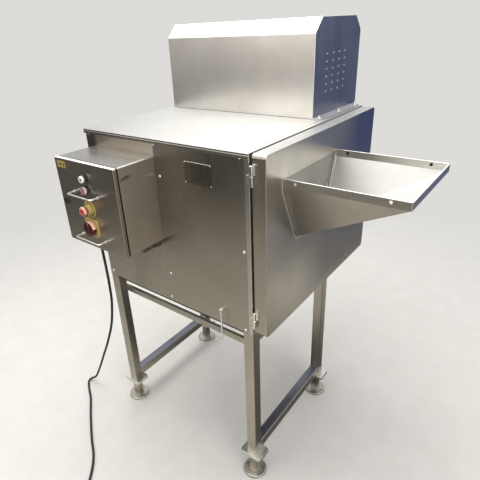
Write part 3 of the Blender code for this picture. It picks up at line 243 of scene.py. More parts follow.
def metal(name, base, rough, bump, scale, vary):
    """Turned, cast or polished metal with faint marks in every direction."""
    nodes, shader = new_material(name)
    marks = nodes.noise(scale, detail=5.0)
    soil = nodes.noise(scale * 0.18, detail=4.0, distortion=0.5)
    colour = nodes.mix(nodes.remap(marks, span=(0.3, 0.7)),
                       scaled(base, 1 - vary), scaled(base, 1 + vary * 0.7))
    colour = nodes.mix(nodes.remap(soil, span=(0.55, 0.8), to=(0.0, 0.4)),
                       colour, scaled(base, 0.62))
    nodes.link(colour, shader["Base Color"])
    shader["Metallic"].default_value = 1.0
    mark_rough = nodes.remap(marks, span=(0.3, 0.7), to=(max(0.03, rough - 0.06), rough + 0.06))
    soil_rough = nodes.remap(soil, span=(0.5, 0.8), to=(0.0, 0.12))
    nodes.link(nodes.math("ADD", mark_rough, soil_rough), shader["Roughness"])
    nodes.link(nodes.bump(marks, strength=bump, distance=0.0008), shader["Normal"])


def plastic(name, base, rough, scale, bump, vary, coat, wear):
    """Moulded plastic or rubber: fine moulding grain, slight fading and a dusty film."""
    nodes, shader = new_material(name)
    fine = nodes.noise(scale)
    fade = nodes.noise(scale * 0.05, detail=4.0, distortion=0.3)
    colour = nodes.mix(nodes.remap(fine, span=(0.3, 0.7)),
                       scaled(base, 1 - vary), scaled(base, 1 + vary))
    dust = tuple(min(1.0, c * 0.75 + 0.10) for c in base)
    colour = nodes.mix(nodes.remap(fade, span=(0.50, 0.78), to=(0.0, wear)), colour, dust)
    nodes.link(colour, shader["Base Color"])
    fine_rough = nodes.remap(fine, span=(0.3, 0.7), to=(rough - 0.05, rough + 0.06))
    fade_rough = nodes.remap(fade, span=(0.5, 0.8), to=(0.0, 0.14))
    nodes.link(nodes.math("ADD", fine_rough, fade_rough), shader["Roughness"])
    nodes.link(nodes.bump(fine, strength=bump, distance=0.0005), shader["Normal"])
    if coat:
        shader["Coat Weight"].default_value = coat
        shader["Coat Roughness"].default_value = 0.12


def belt_weave(name):
    """Blue woven belt, slightly soiled."""
    nodes, shader = new_material(name)
    threads = []
    for axis in "XY":
        wave = nodes.add("ShaderNodeTexWave", wave_type="BANDS", bands_direction=axis)
        wave.inputs["Scale"].default_value = 1.0
        nodes.link(nodes.coords((110.0,) * 3), wave.inputs["Vector"])
        threads.append(wave.outputs["Fac"])
    weave = nodes.math("MULTIPLY", *threads)
    soil = nodes.noise(14.0, detail=4.0)
    colour = nodes.mix(nodes.remap(weave, span=(0.0, 1.0)), (0.05, 0.16, 0.38), (0.10, 0.27, 0.58))
    colour = nodes.mix(nodes.remap(soil, span=(0.5, 0.8), to=(0.0, 0.45)),
                       colour, (0.16, 0.24, 0.34))
    nodes.link(colour, shader["Base Color"])
    nodes.link(nodes.remap(soil, span=(0.3, 0.7), to=(0.42, 0.62)), shader["Roughness"])
    nodes.link(nodes.bump(weave, strength=0.5, distance=0.0006), shader["Normal"])


# Many rows are lighter and darker copies of one stainless steel, painted light and shade: the
# darker front of the housing, the box and the door's front edge, the brighter hood front, tops and
# box side, the painted highlights on the strip and the lip's fold, the shaded lower lip, scoop
# outside, flap and inner leg faces, and the dark bluish reflections painted on the hood's infeed
# end and on the rail tops.
# name, base colour, roughness, grain axis, streak contrast, stain depth, waviness, finger marks
STEELS = [
    ("sheet_front", (0.44, 0.41, 0.36), 0.28, "Z", 0.035, 0.05, 0.04, 0.15),
    ("sheet_strip", (0.66, 0.63, 0.575), 0.30, "Z", 0.05, 0.10, 0.03, 0.5),
    ("sheet_side", (0.56, 0.54, 0.505), 0.30, "Z", 0.05, 0.10, 0.10, 0.5),
    ("sheet_top_lip", (0.25, 0.235, 0.205), 0.34, "X", 0.05, 0.10, 0.02, 0.5),
    ("sheet_top_fold", (0.86, 0.84, 0.80), 0.40, "X", 0.05, 0.10, 0.02, 0.5),
    ("sheet_top", (0.54, 0.535, 0.52), 0.50, "X", 0.05, 0.07, 0.10, 0.5),
    ("sheet_hood", (0.82, 0.795, 0.76), 0.34, "Z", 0.05, 0.10, 0.10, 0.5),
    ("sheet_hood_side", (0.275, 0.30, 0.38), 0.36, "Z", 0.02, 0.04, 0.02, 0.0),
    ("sheet_hood_top", (0.84, 0.835, 0.82), 0.34, "X", 0.05, 0.05, 0.10, 0.5),
    ("sheet_flange", (0.84, 0.83, 0.81), 0.50, "Y", 0.05, 0.05, 0.10, 0.5),
    ("sheet_box", (0.47, 0.44, 0.39), 0.28, "Z", 0.035, 0.05, 0.03, 0.15),
    ("sheet_box_top", (0.52, 0.50, 0.465), 0.28, "X", 0.12, 0.14, 0.05, 0.5),
    ("sheet_box_side", (0.62, 0.575, 0.505), 0.31, "Z", 0.03, 0.05, 0.03, 0.1),
    ("sheet_scoop", (0.62, 0.60, 0.56), 0.30, "X", 0.05, 0.10, 0.06, 0.5),
    ("sheet_scoop_inside", (0.83, 0.82, 0.795), 0.46, "X", 0.05, 0.04, 0.04, 0.5),
    ("sheet_scoop_outside", (0.50, 0.475, 0.43), 0.30, "X", 0.05, 0.10, 0.06, 0.5),
    ("sheet_flap", (0.31, 0.295, 0.27), 0.30, "Z", 0.05, 0.10, 0.06, 0.5),
    ("sheet_door_top", (0.79, 0.78, 0.76), 0.52, "Y", 0.05, 0.04, 0.10, 0.5),
    ("sheet_door_edge", (0.50, 0.465, 0.41), 0.32, "Z", 0.04, 0.10, 0.03, 0.5),
    ("sheet_door_face", (0.56, 0.54, 0.505), 0.30, "Z", 0.05, 0.10, 0.06, 0.3),
    ("tube_steel", (0.50, 0.475, 0.42), 0.34, "Z", 0.05, 0.10, 0.02, 0.5),
    ("tube_steel_inside", (0.33, 0.31, 0.275), 0.34, "Z", 0.05, 0.10, 0.02, 0.5),
    ("rail_steel", (0.50, 0.475, 0.42), 0.34, "Y", 0.05, 0.10, 0.02, 0.5),
    ("rail_steel_top", (0.20, 0.205, 0.25), 0.34, "Y", 0.05, 0.10, 0.02, 0.5),
    ("rail_steel_across", (0.50, 0.475, 0.42), 0.34, "X", 0.05, 0.10, 0.02, 0.5),
    ("collar_plate", (0.80, 0.785, 0.75), 0.28, "X", 0.05, 0.10, 0.02, 0.5),
    ("inner_sheet", (0.50, 0.49, 0.47), 0.36, "X", 0.05, 0.16, 0.10, 0.5),
    ("etched_plate", (0.27, 0.25, 0.215), 0.27, "Z", 0.03, 0.10, 0.0, 0.5),
    ("plate_line", (0.20, 0.19, 0.165), 0.35, "X", 0.05, 0.10, 0.0, 0.5),
]
# name, base colour, roughness, bump strength, mark scale, colour variation
METALS = [
    ("machined_steel", (0.58, 0.57, 0.55), 0.24, 0.06, 160.0, 0.12),
    ("polished_steel", (0.80, 0.79, 0.77), 0.12, 0.04, 90.0, 0.12),
    ("bright_rod", (0.93, 0.92, 0.90), 0.30, 0.05, 140.0, 0.06),
    ("tarnished_metal", (0.17, 0.155, 0.13), 0.24, 0.9, 260.0, 0.85),
    ("weld_bead", (0.55, 0.50, 0.44), 0.30, 0.35, 380.0, 0.25),
    ("cast_alloy", (0.55, 0.55, 0.55), 0.42, 0.5, 500.0, 0.12),
]
# name, base colour, roughness, grain scale, bump strength, colour variation, coat, dust
PLASTICS = [
    ("motor_paint", (0.17, 0.21, 0.25), 0.42, 650.0, 0.30, 0.08, 0.2, 0.25),
    ("black_plastic", (0.018, 0.018, 0.02), 0.38, 700.0, 0.15, 0.2, 0.0, 0.12),
    ("seal_rubber", (0.022, 0.022, 0.024), 0.70, 500.0, 0.35, 0.25, 0.0, 0.15),
    ("cable_sheath", (0.009, 0.009, 0.010), 0.55, 380.0, 0.25, 0.2, 0.0, 0.10),
    ("white_plastic", (0.82, 0.81, 0.77), 0.30, 500.0, 0.05, 0.03, 0.3, 0.12),
    ("red_plastic", (0.40, 0.045, 0.045), 0.33, 500.0, 0.06, 0.06, 0.5, 0.10),
    ("rim_red_plastic", (0.80, 0.46, 0.35), 0.30, 500.0, 0.06, 0.10, 0.4, 0.15),
    ("label_dark", (0.06, 0.035, 0.015), 0.5, 500.0, 0.05, 0.2, 0.0, 0.1),
    # near-black that stands in for shade in gaps, grooves and holes
    ("gap_dark", (0.004, 0.0035, 0.003), 0.85, 500.0, 0.05, 0.10, 0.0, 0.0),
    ("dark_red_plastic", (0.055, 0.004, 0.006), 0.34, 500.0, 0.06, 0.10, 0.15, 0.04),
    ("yellow_plastic", (0.43, 0.335, 0.11), 0.42, 500.0, 0.08, 0.08, 0.0, 0.18),
    ("aged_white_plastic", (0.60, 0.55, 0.52), 0.34, 500.0, 0.05, 0.05, 0.2, 0.2),
    ("selector_grip_plastic", (0.27, 0.13, 0.12), 0.36, 500.0, 0.05, 0.10, 0.2, 0.15),
    ("guide_plastic", (0.80, 0.80, 0.77), 0.40, 300.0, 0.08, 0.04, 0.0, 0.10),
    ("grey_sealant", (0.16, 0.155, 0.145), 0.6, 500.0, 0.05, 0.10, 0.0, 0.0),
]
# Painted light and shade: soft-edged rectangles that multiply a sheet's colour; factors above 1 are
# painted highlights and reflections, below 1 painted shade and dark reflections, the bluish one a
# painted blue reflection. Columns: material, plane, (low, high, softness at low, softness at high)
# on each axis of the plane, colour factor
PAINTED_LIGHT_PATCHES = [
    ("sheet_front", "XZ", (-0.658, BOX_X1, 0.006, 0.001), (-0.07, 0.005, 0.001, 0.001),
     (1.45, 1.43, 1.43)),
    ("sheet_front", "XZ", (-0.73, -0.66, 0.001, 0.008), (-0.11, 0.005, 0.03, 0.001),
     (0.55, 0.55, 0.52)),
    ("sheet_front", "XZ", (BOX_X1, -0.2, 0.001, 0.15), (-0.4, 0.005, 0.13, 0.001),
     (0.60, 0.60, 0.60)),
    ("sheet_front", "XZ", (BOX_X1, 0.005, 0.001, 0.06), (-0.33, 0.005, 0.24, 0.001),
     (0.84, 0.84, 0.84)),
    ("sheet_hood", "XZ", (-0.42, HOOD_X1 + 0.01, 0.3, 0.001), (-0.01, 0.4, 0.001, 0.001),
     (1.20, 1.20, 1.20)),
    ("sheet_door_face", "YZ", (0.03, 0.42, 0.08, 0.2), (-0.4, -0.07, 0.12, 0.11),
     (0.76, 0.76, 0.78)),
    ("sheet_door_face", "YZ", (0.18, 0.8, 0.2, 0.001), (-0.62, -0.22, 0.08, 0.12),
     (0.66, 0.67, 0.72)),
    ("sheet_door_face", "YZ", (-0.01, 0.4, 0.001, 0.2), (-0.62, -0.35, 0.001, 0.13),
     (1.30, 1.29, 1.27)),
    ("sheet_door_face", "YZ", (0.47, 0.8, 0.15, 0.001), (-0.48, 0.01, 0.2, 0.001),
     (0.52, 0.57, 0.78)),
]


def colour_layer(name):
    """Node adder, colour socket and present colour of a finished material."""
    tree = MATERIALS[name].node_tree
    socket = tree.nodes["Principled BSDF"].inputs["Base Color"]
    return Nodes(tree), socket, socket.links[0].from_socket


# Painted light or shade: multiplies a sheet's colour inside a soft-edged rectangle.
def paint_light_patch(name, plane, first, second, factor):
    nodes, socket, before = colour_layer(name)
    split = nodes.add("ShaderNodeSeparateXYZ")
    nodes.link(nodes.position(), split.inputs[0])
    inside = 1.0
    for axis, (low, high, soft_low, soft_high) in zip(plane, (first, second)):
        low, high = (ORIGIN["XYZ".index(axis)] + limit for limit in (low, high))
        value = split.outputs[axis]
        rise = nodes.remap(value, span=(low, low + soft_low))
        inside = nodes.math("MULTIPLY", inside, rise)
        fall = nodes.remap(value, span=(high - soft_high, high), to=(1.0, 0.0))
        inside = nodes.math("MULTIPLY", inside, fall)
    patch_colour = nodes.mix(1.0, before, factor, "MULTIPLY")
    nodes.link(nodes.mix(inside, before, patch_colour), socket)


def stain(name, centre, radii, turn, tint, strength):
    """Local dark mark on a sheet, broken up by fine noise."""
    nodes, socket, before = colour_layer(name)
    mapping = nodes.add("ShaderNodeMapping", vector_type="TEXTURE")
    mapping.inputs["Location"].default_value = grid_point(*centre)
    mapping.inputs["Rotation"].default_value = turn
    mapping.inputs["Scale"].default_value = radii
    nodes.link(nodes.position(), mapping.inputs["Vector"])
    away = nodes.vector("LENGTH", mapping.outputs["Vector"])
    patch = nodes.math("MULTIPLY", nodes.remap(away, span=(0.30, 1.0), to=(strength, 0.0)),
                       nodes.remap(nodes.noise(170.0), span=(0.36, 0.56)))
    nodes.link(nodes.mix(patch, before, tint), socket)


for make, table in ((steel, STEELS), (metal, METALS), (plastic, PLASTICS), (paint_light_patch, PAINTED_LIGHT_PATCHES)):
    for row in table:
        make(*row)
belt_weave("conveyor_belt_weave")
stain("sheet_box_side", centre=(BOX_X1, -0.1235, -0.0945), radii=(0.02, 0.03, 0.0085),
      turn=(math.radians(11), 0, 0), tint=(0.035, 0.030, 0.025), strength=0.95)


# ================================================================= modelling helpers
# Solids that only cut or join another one need no material of their own.
def scene_object(name, data):
    obj = bpy.data.objects.new(name, data)
    bpy.context.scene.collection.objects.link(obj)
    return obj


def remove(obj):
    bpy.data.objects.remove(obj, do_unlink=True)


def shade(mesh, sharp=32.0):
    mesh.shade_smooth()
    mesh.set_sharp_from_angle(angle=math.radians(sharp))


def finish(name, bm, material=None, sharp=32.0):
    bmesh.ops.remove_doubles(bm, verts=bm.verts, dist=1e-6)
    bmesh.ops.recalc_face_normals(bm, faces=bm.faces)
    mesh = bpy.data.meshes.new(name)
    bm.to_mesh(mesh)
    bm.free()
    if material:
        mesh.materials.append(MATERIALS[material])
    shade(mesh, sharp)
    return scene_object(name, mesh)


def box(name, lo, hi, material=None, bevel=0.0, segments=3, edges="XYZ"):
    """Box between two corners; the edges that run along the named axes are bevelled."""
    corners = grid_point(*lo), grid_point(*hi)
    bm = bmesh.new()
    bmesh.ops.create_cube(bm, size=1.0)
    for v in bm.verts:
        v.co = Vector([corners[v.co[i] > 0][i] for i in range(3)])
    if bevel:
        chosen = []
        for e in bm.edges:
            along = (e.verts[0].co - e.verts[1].co).normalized()
            if any(abs(along["XYZ".index(axis)]) > 0.9 for axis in edges):
                chosen.append(e)
        bmesh.ops.bevel(bm, geom=chosen, offset=bevel, segments=segments, profile=0.5,
                        affect="EDGES")
    return finish(name, bm, material)


def across(direction):
    """Two directions square to a unit vector."""
    x = direction.orthogonal().normalized()
    return x, direction.cross(x)


def skin(bm, lower, upper, shift=0):
    """Quads between two rings of the same count."""
    n = len(lower)
    for k in range(n):
        j = (k + 1) % n
        bm.faces.new((lower[k], lower[j], upper[(j + shift) % n], upper[(k + shift) % n]))


def lathe(name, start, direction, profile, material=None, n=48):
    """Turned solid. profile: (distance from start, radius) along the direction."""
    start = grid_point(*start)
    z = Vector(direction).normalized()
    x, y = across(z)
    bm = bmesh.new()
    rings = []
    for distance, r in profile:
        centre = start + z * distance
        if r <= 1e-7:
            rings.append([bm.verts.new(centre)])
        else:
            rings.append([bm.verts.new(centre + (x * math.cos(t) + y * math.sin(t)) * r)
                          for t in (2 * math.pi * k / n for k in range(n))])
    for lower, upper in zip(rings, rings[1:]):
        if len(lower) == len(upper):
            skin(bm, lower, upper)
            continue
        for k in range(n):
            j = (k + 1) % n
            if len(lower) == 1:
                bm.faces.new((lower[0], upper[j], upper[k]))
            else:
                bm.faces.new((lower[k], lower[j], upper[0]))
    if len(rings[0]) > 1:
        bm.faces.new(list(reversed(rings[0])))
    if len(rings[-1]) > 1:
        bm.faces.new(rings[-1])
    return finish(name, bm, material)


def cylinder(name, start, end, r, material=None, n=40):
    axis = grid_point(*end) - grid_point(*start)
    return lathe(name, start, axis, [(0.0, r), (axis.length, r)], material, n)


def placed(axis, along, u, v):
    """Grid coordinates from a place along an axis and the two others, in X, Y, Z order."""
    coords = [u, v]
    coords.insert("XYZ".index(axis), along)
    return coords


def prism(name, outline, axis, lo, hi, material=None):
    """Outline in the two other axes (in X, Y, Z order), extruded along axis."""
    bm = bmesh.new()
    first, last = ([bm.verts.new(grid_point(*placed(axis, along, *p))) for p in outline]
                   for along in (lo, hi))
    for k in range(len(outline)):
        j = (k + 1) % len(outline)
        bm.faces.new((first[k], first[j], last[j], last[k]))
    bm.faces.new(list(reversed(first)))
    bm.faces.new(last)
    return finish(name, bm, material)


def hull(name, corners, material=None):
    """Convex solid through the corners."""
    bm = bmesh.new()
    for corner in corners:
        bm.verts.new(grid_point(*corner))
    made = bmesh.ops.convex_hull(bm, input=bm.verts)
    loose = {v for v in made["geom_interior"] if isinstance(v, bmesh.types.BMVert)}
    bmesh.ops.delete(bm, geom=list(loose), context="VERTS")
    bmesh.ops.dissolve_limit(bm, angle_limit=0.001, verts=bm.verts, edges=bm.edges)
    return finish(name, bm, material)


def ellipsoid(centre, radii, material=None, n=20):
    bm = bmesh.new()
    bmesh.ops.create_uvsphere(bm, u_segments=n, v_segments=n // 2, radius=1.0)
    for v in bm.verts:
        v.co = grid_point(*centre) + Vector([v.co[i] * radii[i] for i in range(3)])
    return finish("ellipsoid", bm, material)


def rounded(u0, v0, u1, v1, r, n=6):
    """Rectangle outline with corners of radius r."""
    points = []
    for u, v, start in ((u1 - r, v1 - r, 0), (u0 + r, v1 - r, 90),
                        (u0 + r, v0 + r, 180), (u1 - r, v0 + r, 270)):
        for k in range(n + 1):
            t = math.radians(start + 90 * k / n)
            points.append((u + r * math.cos(t), v + r * math.sin(t)))
    return points


def fillet(points, radii, n=5):
    """A polygon with each corner rounded; radii is one number or one for each corner."""
    out = []
    count = len(points)
    for k in range(count):
        corner = Vector(points[k])
        before, after = Vector(points[k - 1]) - corner, Vector(points[(k + 1) % count]) - corner
        r = radii[k] if isinstance(radii, list) else radii
        if r <= 0:
            out.append(tuple(corner))
            continue
        half = before.angle(after) / 2
        cutback = min(r / math.tan(half), before.length * 0.45, after.length * 0.45)
        r = cutback * math.tan(half)
        before.normalize()
        after.normalize()
        centre = corner + (before + after).normalized() * (r / math.sin(half))
        spoke = corner + before * cutback - centre
        last = corner + after * cutback - centre
        turn = spoke.angle(last)
        if spoke.x * last.y - spoke.y * last.x <= 0:
            turn = -turn
        for j in range(n + 1):
            c, s = math.cos(turn * j / n), math.sin(turn * j / n)
            out.append((centre.x + spoke.x * c - spoke.y * s, centre.y + spoke.x * s + spoke.y * c))
    return out


def smooth_path(points, steps):
    """Catmull-Rom curve through the points."""
    path = [Vector(p) for p in points]
    ends = [2 * path[0] - path[1]] + path + [2 * path[-1] - path[-2]]
    out = []
    for a, b, c, d in zip(ends, ends[1:], ends[2:], ends[3:]):
        for k in range(steps):
            t = k / steps
            out.append(0.5 * ((2 * b) + (c - a) * t + (2 * a - 5 * b + 4 * c - d) * t * t
                              + (3 * b - a - 3 * c + d) * t ** 3))
    out.append(ends[-2])
    return out


def bend_path(points, r, n=6):
    """A polyline with its corners turned into arcs, as bent rod."""
    points = [Vector(p) for p in points]
    out = [points[0]]
    for before, corner, after in zip(points, points[1:], points[2:]):
        back, on = (before - corner).normalized(), (after - corner).normalized()
        angle = back.angle(on)
        if angle > math.radians(178):
            out.append(corner)
            continue
        cutback = min(r / math.tan(angle / 2), (before - corner).length * 0.49,
                      (after - corner).length * 0.49)
        radius = cutback * math.tan(angle / 2)
        centre = corner + (back + on).normalized() * (radius / math.sin(angle / 2))
        first, last = corner + back * cutback, corner + on * cutback
        for k in range(n + 1):
            t = k / n
            spoke = (first - centre) * (1 - t) + (last - centre) * t
            out.append(centre + spoke.normalized() * radius)
    out.append(points[-1])
    return out


def sweep(name, path, r, material, n=20, closed=False, ripple=0.0):
    """Round bar along a path; r may be one number or one for each point."""
    path = [Vector(p) for p in path]
    count = len(path)
    bm = bmesh.new()
    tangents = []
    for k in range(count):
        before = path[k - 1] if (closed or k > 0) else path[k]
        after = path[(k + 1) % count] if (closed or k < count - 1) else path[k]
        tangents.append((after - before).normalized())
    side = tangents[0].orthogonal().normalized()
    rings = []
    for k, (p, tangent) in enumerate(zip(path, tangents)):
        side = (side - tangent * side.dot(tangent)).normalized()
        other = tangent.cross(side)
        radius = r[k] if isinstance(r, list) else r
        if ripple:
            radius *= 1 + ripple * math.sin(k * 2.1) + ripple * 0.5 * math.sin(k * 0.7)
        turns = [2 * math.pi * j / n for j in range(n)]
        rings.append([bm.verts.new(ORIGIN + p + (side * math.cos(t) + other * math.sin(t)) * radius)
                      for t in turns])
    for lower, upper in zip(rings, rings[1:]):
        skin(bm, lower, upper)
    if closed:
        lower, upper = rings[-1], rings[0]

        def twist(shift):
            return sum((lower[j].co - upper[(j + shift) % n].co).length for j in range(n))

        skin(bm, lower, upper, min(range(n), key=twist))
    else:
        bm.faces.new(list(reversed(rings[0])))
        bm.faces.new(rings[-1])
    return finish(name, bm, material, 50.0)


def baked(obj):
    """A new mesh with the object's modifiers applied."""
    bpy.context.view_layer.update()
    graph = bpy.context.evaluated_depsgraph_get()
    return bpy.data.meshes.new_from_object(obj.evaluated_get(graph))


def boolean(target, tools, operation):
    for tool in tools:
        modifier = target.modifiers.new("bool", "BOOLEAN")
        modifier.operation = operation
        modifier.solver = "EXACT"
        modifier.object = tool
    result = baked(target)
    kept = target.data.materials[0]
    target.modifiers.clear()
    target.data = result
    result.materials.clear()
    result.materials.append(kept)
    result.polygons.foreach_set("material_index", [0] * len(result.polygons))
    shade(result)
    for tool in tools:
        remove(tool)
    return target


def fuse(target, *tools):
    return boolean(target, tools, "UNION")


def cut(target, *tools):
    return boolean(target, tools, "DIFFERENCE")


def soften(obj, width=0.0007, segments=2, angle=34.0):
    """Rounds every sharp edge a little, as on real sheet and machined parts."""
    bevel = obj.modifiers.new("edge", "BEVEL")
    bevel.width = width
    bevel.segments = segments
    bevel.limit_method = "ANGLE"
    bevel.angle_limit = math.radians(angle)
    bevel.use_clamp_overlap = True
    normals = obj.modifiers.new("normals", "WEIGHTED_NORMAL")
    normals.keep_sharp = False
    normals.weight = 60
    return obj


def round_rims(obj, axis, places, width, above=-10.0):
    """Rounds the edges that lie at the places along an axis and reach above a height."""
    i = "XYZ".index(axis)
    bm = bmesh.new()
    bm.from_mesh(obj.data)
    rims = [e for e in bm.edges
            if any(all(abs((v.co - ORIGIN)[i] - place) < 1e-5 for v in e.verts)
                   for place in places)
            and max((v.co - ORIGIN).z for v in e.verts) > above]
    bmesh.ops.bevel(bm, geom=rims, offset=width, segments=4, profile=0.5, affect="EDGES")
    bm.to_mesh(obj.data)
    bm.free()


def join(name, objs):
    """One object from several, each keeping its materials."""
    bm = bmesh.new()
    materials = []
    for obj in objs:
        mesh = baked(obj)
        slots = []
        for material in mesh.materials:
            if material not in materials:
                materials.append(material)
            slots.append(materials.index(material))
        for face in mesh.polygons:
            face.material_index = slots[face.material_index]
        bm.from_mesh(mesh)
    joined = bpy.data.meshes.new(name)
    bm.to_mesh(joined)
    bm.free()
    for material in materials:
        joined.materials.append(material)
    result = scene_object(name, joined)
    for obj in objs:
        remove(obj)
    return result


def piece(obj, slot, *nodes, body="housing"):
    """Hands a finished object over: the body it rides on and the nodes it replaces; slot is not
    used.
    """
    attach(obj, body)
    if nodes:
        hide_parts(*nodes)


def refine(node, material, width, segments=2):
    """A CAD node's own shape with its flat faces whole again and its edges rounded."""
    bm = bmesh.new()
    bm.from_mesh(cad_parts[node].data)
    bmesh.ops.remove_doubles(bm, verts=bm.verts, dist=2e-6)
    bmesh.ops.dissolve_limit(bm, angle_limit=math.radians(0.6), verts=bm.verts, edges=bm.edges)
    return soften(finish(node + "_finished", bm, material), width, segments)


ANY_WAY = -2.0  # a cosine every face exceeds


def paint(obj, direction, least, material, where=None):
    """Another material on faces whose normal has more than the least cosine to a direction.

    where tests the face's centre in the machine grid.
    """
    obj.data.materials.append(MATERIALS[material])
    direction = Vector(direction)
    for face in obj.data.polygons:
        if face.normal.dot(direction) > least and (where is None or where(face.center - ORIGIN)):
            face.material_index = len(obj.data.materials) - 1


def button_screw(place, direction, r, h, washer=0.0):
    """Domed screw head with a round socket, on an optional washer of the given radius."""
    base, direction = Vector(place), Vector(direction)
    parts = []
    if washer:
        profile = [(-0.0002, washer), (0.0009, washer), (0.0012, washer - 0.0004),
                   (0.0012, r * 0.5)]
        parts.append(lathe("washer", base, direction, profile, "machined_steel", 28))
        base += direction * 0.0012
    profile = [(-0.0002, r), (h * 0.22, r), (h * 0.55, r * 0.90), (h * 0.85, r * 0.68),
               (h, r * 0.46), (h * 0.96, r * 0.40), (h * 0.35, r * 0.38), (h * 0.35, 0.0)]
    parts.append(lathe("head", base, direction, profile, "polished_steel", 28))
    return parts


def hexagon(place, direction, flats, h, material="polished_steel"):
    """Hex head or nut with turned corners; flats is its width across flats."""
    base = grid_point(*place)
    direction = Vector(direction)
    x, y = across(direction)
    r = flats / math.sqrt(3)
    bm = bmesh.new()
    rings = []
    for distance, k in ((0.0, 0.97), (h * 0.10, 1.0), (h * 0.82, 1.0), (h, 0.86)):
        rings.append([bm.verts.new(base + direction * distance
                                   + (x * math.cos(t) + y * math.sin(t)) * r * k)
                      for t in (math.pi / 3 * j for j in range(6))])
    for lower, upper in zip(rings, rings[1:]):
        skin(bm, lower, upper)
    bm.faces.new(list(reversed(rings[0])))
    bm.faces.new(rings[-1])
    return finish("hex", bm, material, 20.0)


def stud(place, r, length, pitch=0.001):
    """Upright threaded stud drawn as close rings."""
    profile, d = [(0.0, r)], 0.0
    while d < length - pitch:
        profile += [(d + pitch * 0.25, r), (d + pitch * 0.5, r * 0.86),
                    (d + pitch * 0.75, r * 0.86), (d + pitch, r)]
        d += pitch
    profile.append((length, r * 0.8))
    return lathe("stud", place, UP, profile, "polished_steel", 20)


def bead(points, r, closed=False, step=0.0019, material="weld_bead"):
    """Weld bead along a path."""
    points = [Vector(p) for p in points]
    if closed:
        points.append(points[0])
    out = []
    for a, b in zip(points, points[1:]):
        count = max(2, int((b - a).length / step))
        out += [a.lerp(b, k / count) for k in range(count)]
    if not closed:
        out.append(points[-1])
    return sweep("bead", out, r, material, 7, closed=closed, ripple=0.16)


def ring_bead(axis, along, u0, v0, u1, v1, r=0.0016):
    """Weld bead round a rectangle square to an axis."""
    corners = (u0, v0), (u1, v0), (u1, v1), (u0, v1)
    return bead([placed(axis, along, u, v) for u, v in corners], r, closed=True)


# ================================================================= stand
LEG_X = ((LEFT_X, -0.675), (-0.040, 0.0))
LEG_Y = ((0.0, 0.040), (0.510, 0.550))
LEG_TOP, LEG_LOW = -0.6033, -1.175
FLOOR_Z = grid_box("foot_front_right")[0].z

parts, beads = [], []
for x0, x1 in LEG_X:
    for y0, y1 in LEG_Y:
        x, y = (x0 + x1) / 2, (y0 + y1) / 2
        leg = box("leg", (x0, y0, LEG_LOW), (x1, y1, LEG_TOP), "tube_steel", 0.0045, 4, "Z")
        # painted shade on the inner faces of the outfeed-side legs
        if x0 == LEFT_X:
            paint(leg, RIGHT, 0.9, "tube_steel_inside")
        collar = prism("collar", rounded(x - 0.045, y - 0.034, x + 0.045, y + 0.034, 0.011),
                       "Z", LEG_LOW - 0.012, LEG_LOW + 0.001, "collar_plate")
        stub = x - 0.015, y - 0.015, x + 0.015, y + 0.015
        parts += [leg, soften(collar, 0.0016, 3, 50),
                  box("stub", (*stub[:2], FLOOR_Z + 0.0083), (*stub[2:], LEG_LOW - 0.004),
                      "tube_steel", 0.0022, 3, "Z")]
        beads += [ring_bead("Z", LEG_LOW + 0.0012, x0, y0, x1, y1, 0.0018),
                  ring_bead("Z", LEG_LOW - 0.0122, *stub),
                  ring_bead("Z", FLOOR_Z + 0.0088, *stub, 0.0019)]
parts.append(box("front_bar", (-0.705, 0.0385, -0.697), (-0.010, 0.0535, -0.674),
                 "rail_steel_across", 0.0018, 3, "X"))
for x in (-0.695, -0.020):
    for z in (-0.6735, -0.6975):
        beads.append(bead([(x - 0.018, 0.0405, z), (x + 0.018, 0.0405, z)], 0.0014))
# rear cross rail
y0, y1 = LEG_Y[1]
parts.append(box("rail_x", (-0.705, y0 + 0.003, -0.655), (-0.010, y1 - 0.003, -0.615),
                 "rail_steel_across", 0.004, 3, "X"))
for x in (LEG_X[0][1], LEG_X[1][0]):
    beads.append(ring_bead("X", x, y0 + 0.003, -0.655, y1 - 0.003, -0.615))
# upper and lower side rails
for x0, x1 in LEG_X:
    parts.append(box("rail_y", (x0 + 0.003, 0.012, -0.654), (x1 - 0.003, 0.538, -0.616),
                     "rail_steel", 0.004, 3, "Y"))
    low = box("rail_low", (x0 + 0.0012, 0.012, -1.173), (x1 - 0.0012, 0.538, -1.133),
              "rail_steel", 0.004, 3, "Y")
    # painted dark bluish reflection on the rail's top
    paint(low, UP, 0.9, "rail_steel_top")
    parts.append(low)
    for y in (LEG_Y[0][1], LEG_Y[1][0]):
        beads += [ring_bead("Y", y, x0 + 0.003, -0.654, x1 - 0.003, -0.616),
                  ring_bead("Y", y, x0 + 0.0012, -1.173, x1 - 0.0012, -1.133, 0.0017)]
piece(join("stand_tubes", parts), "frame_tube", "stand_frame")

# dark plugs set flush in the lower rails
plugs = [lathe("plug", (x, 0.275, -1.1334), UP,
               [(0, 0.0048), (0.0008, 0.0048), (0.001, 0.004), (0.0004, 0.0034), (0.0004, 0.0)],
               "black_plastic", 24) for x in (-0.020, -0.695)]
piece(join("rail_plugs", plugs), "black_plastic")
piece(join("stand_welds", beads), "frame_tube")

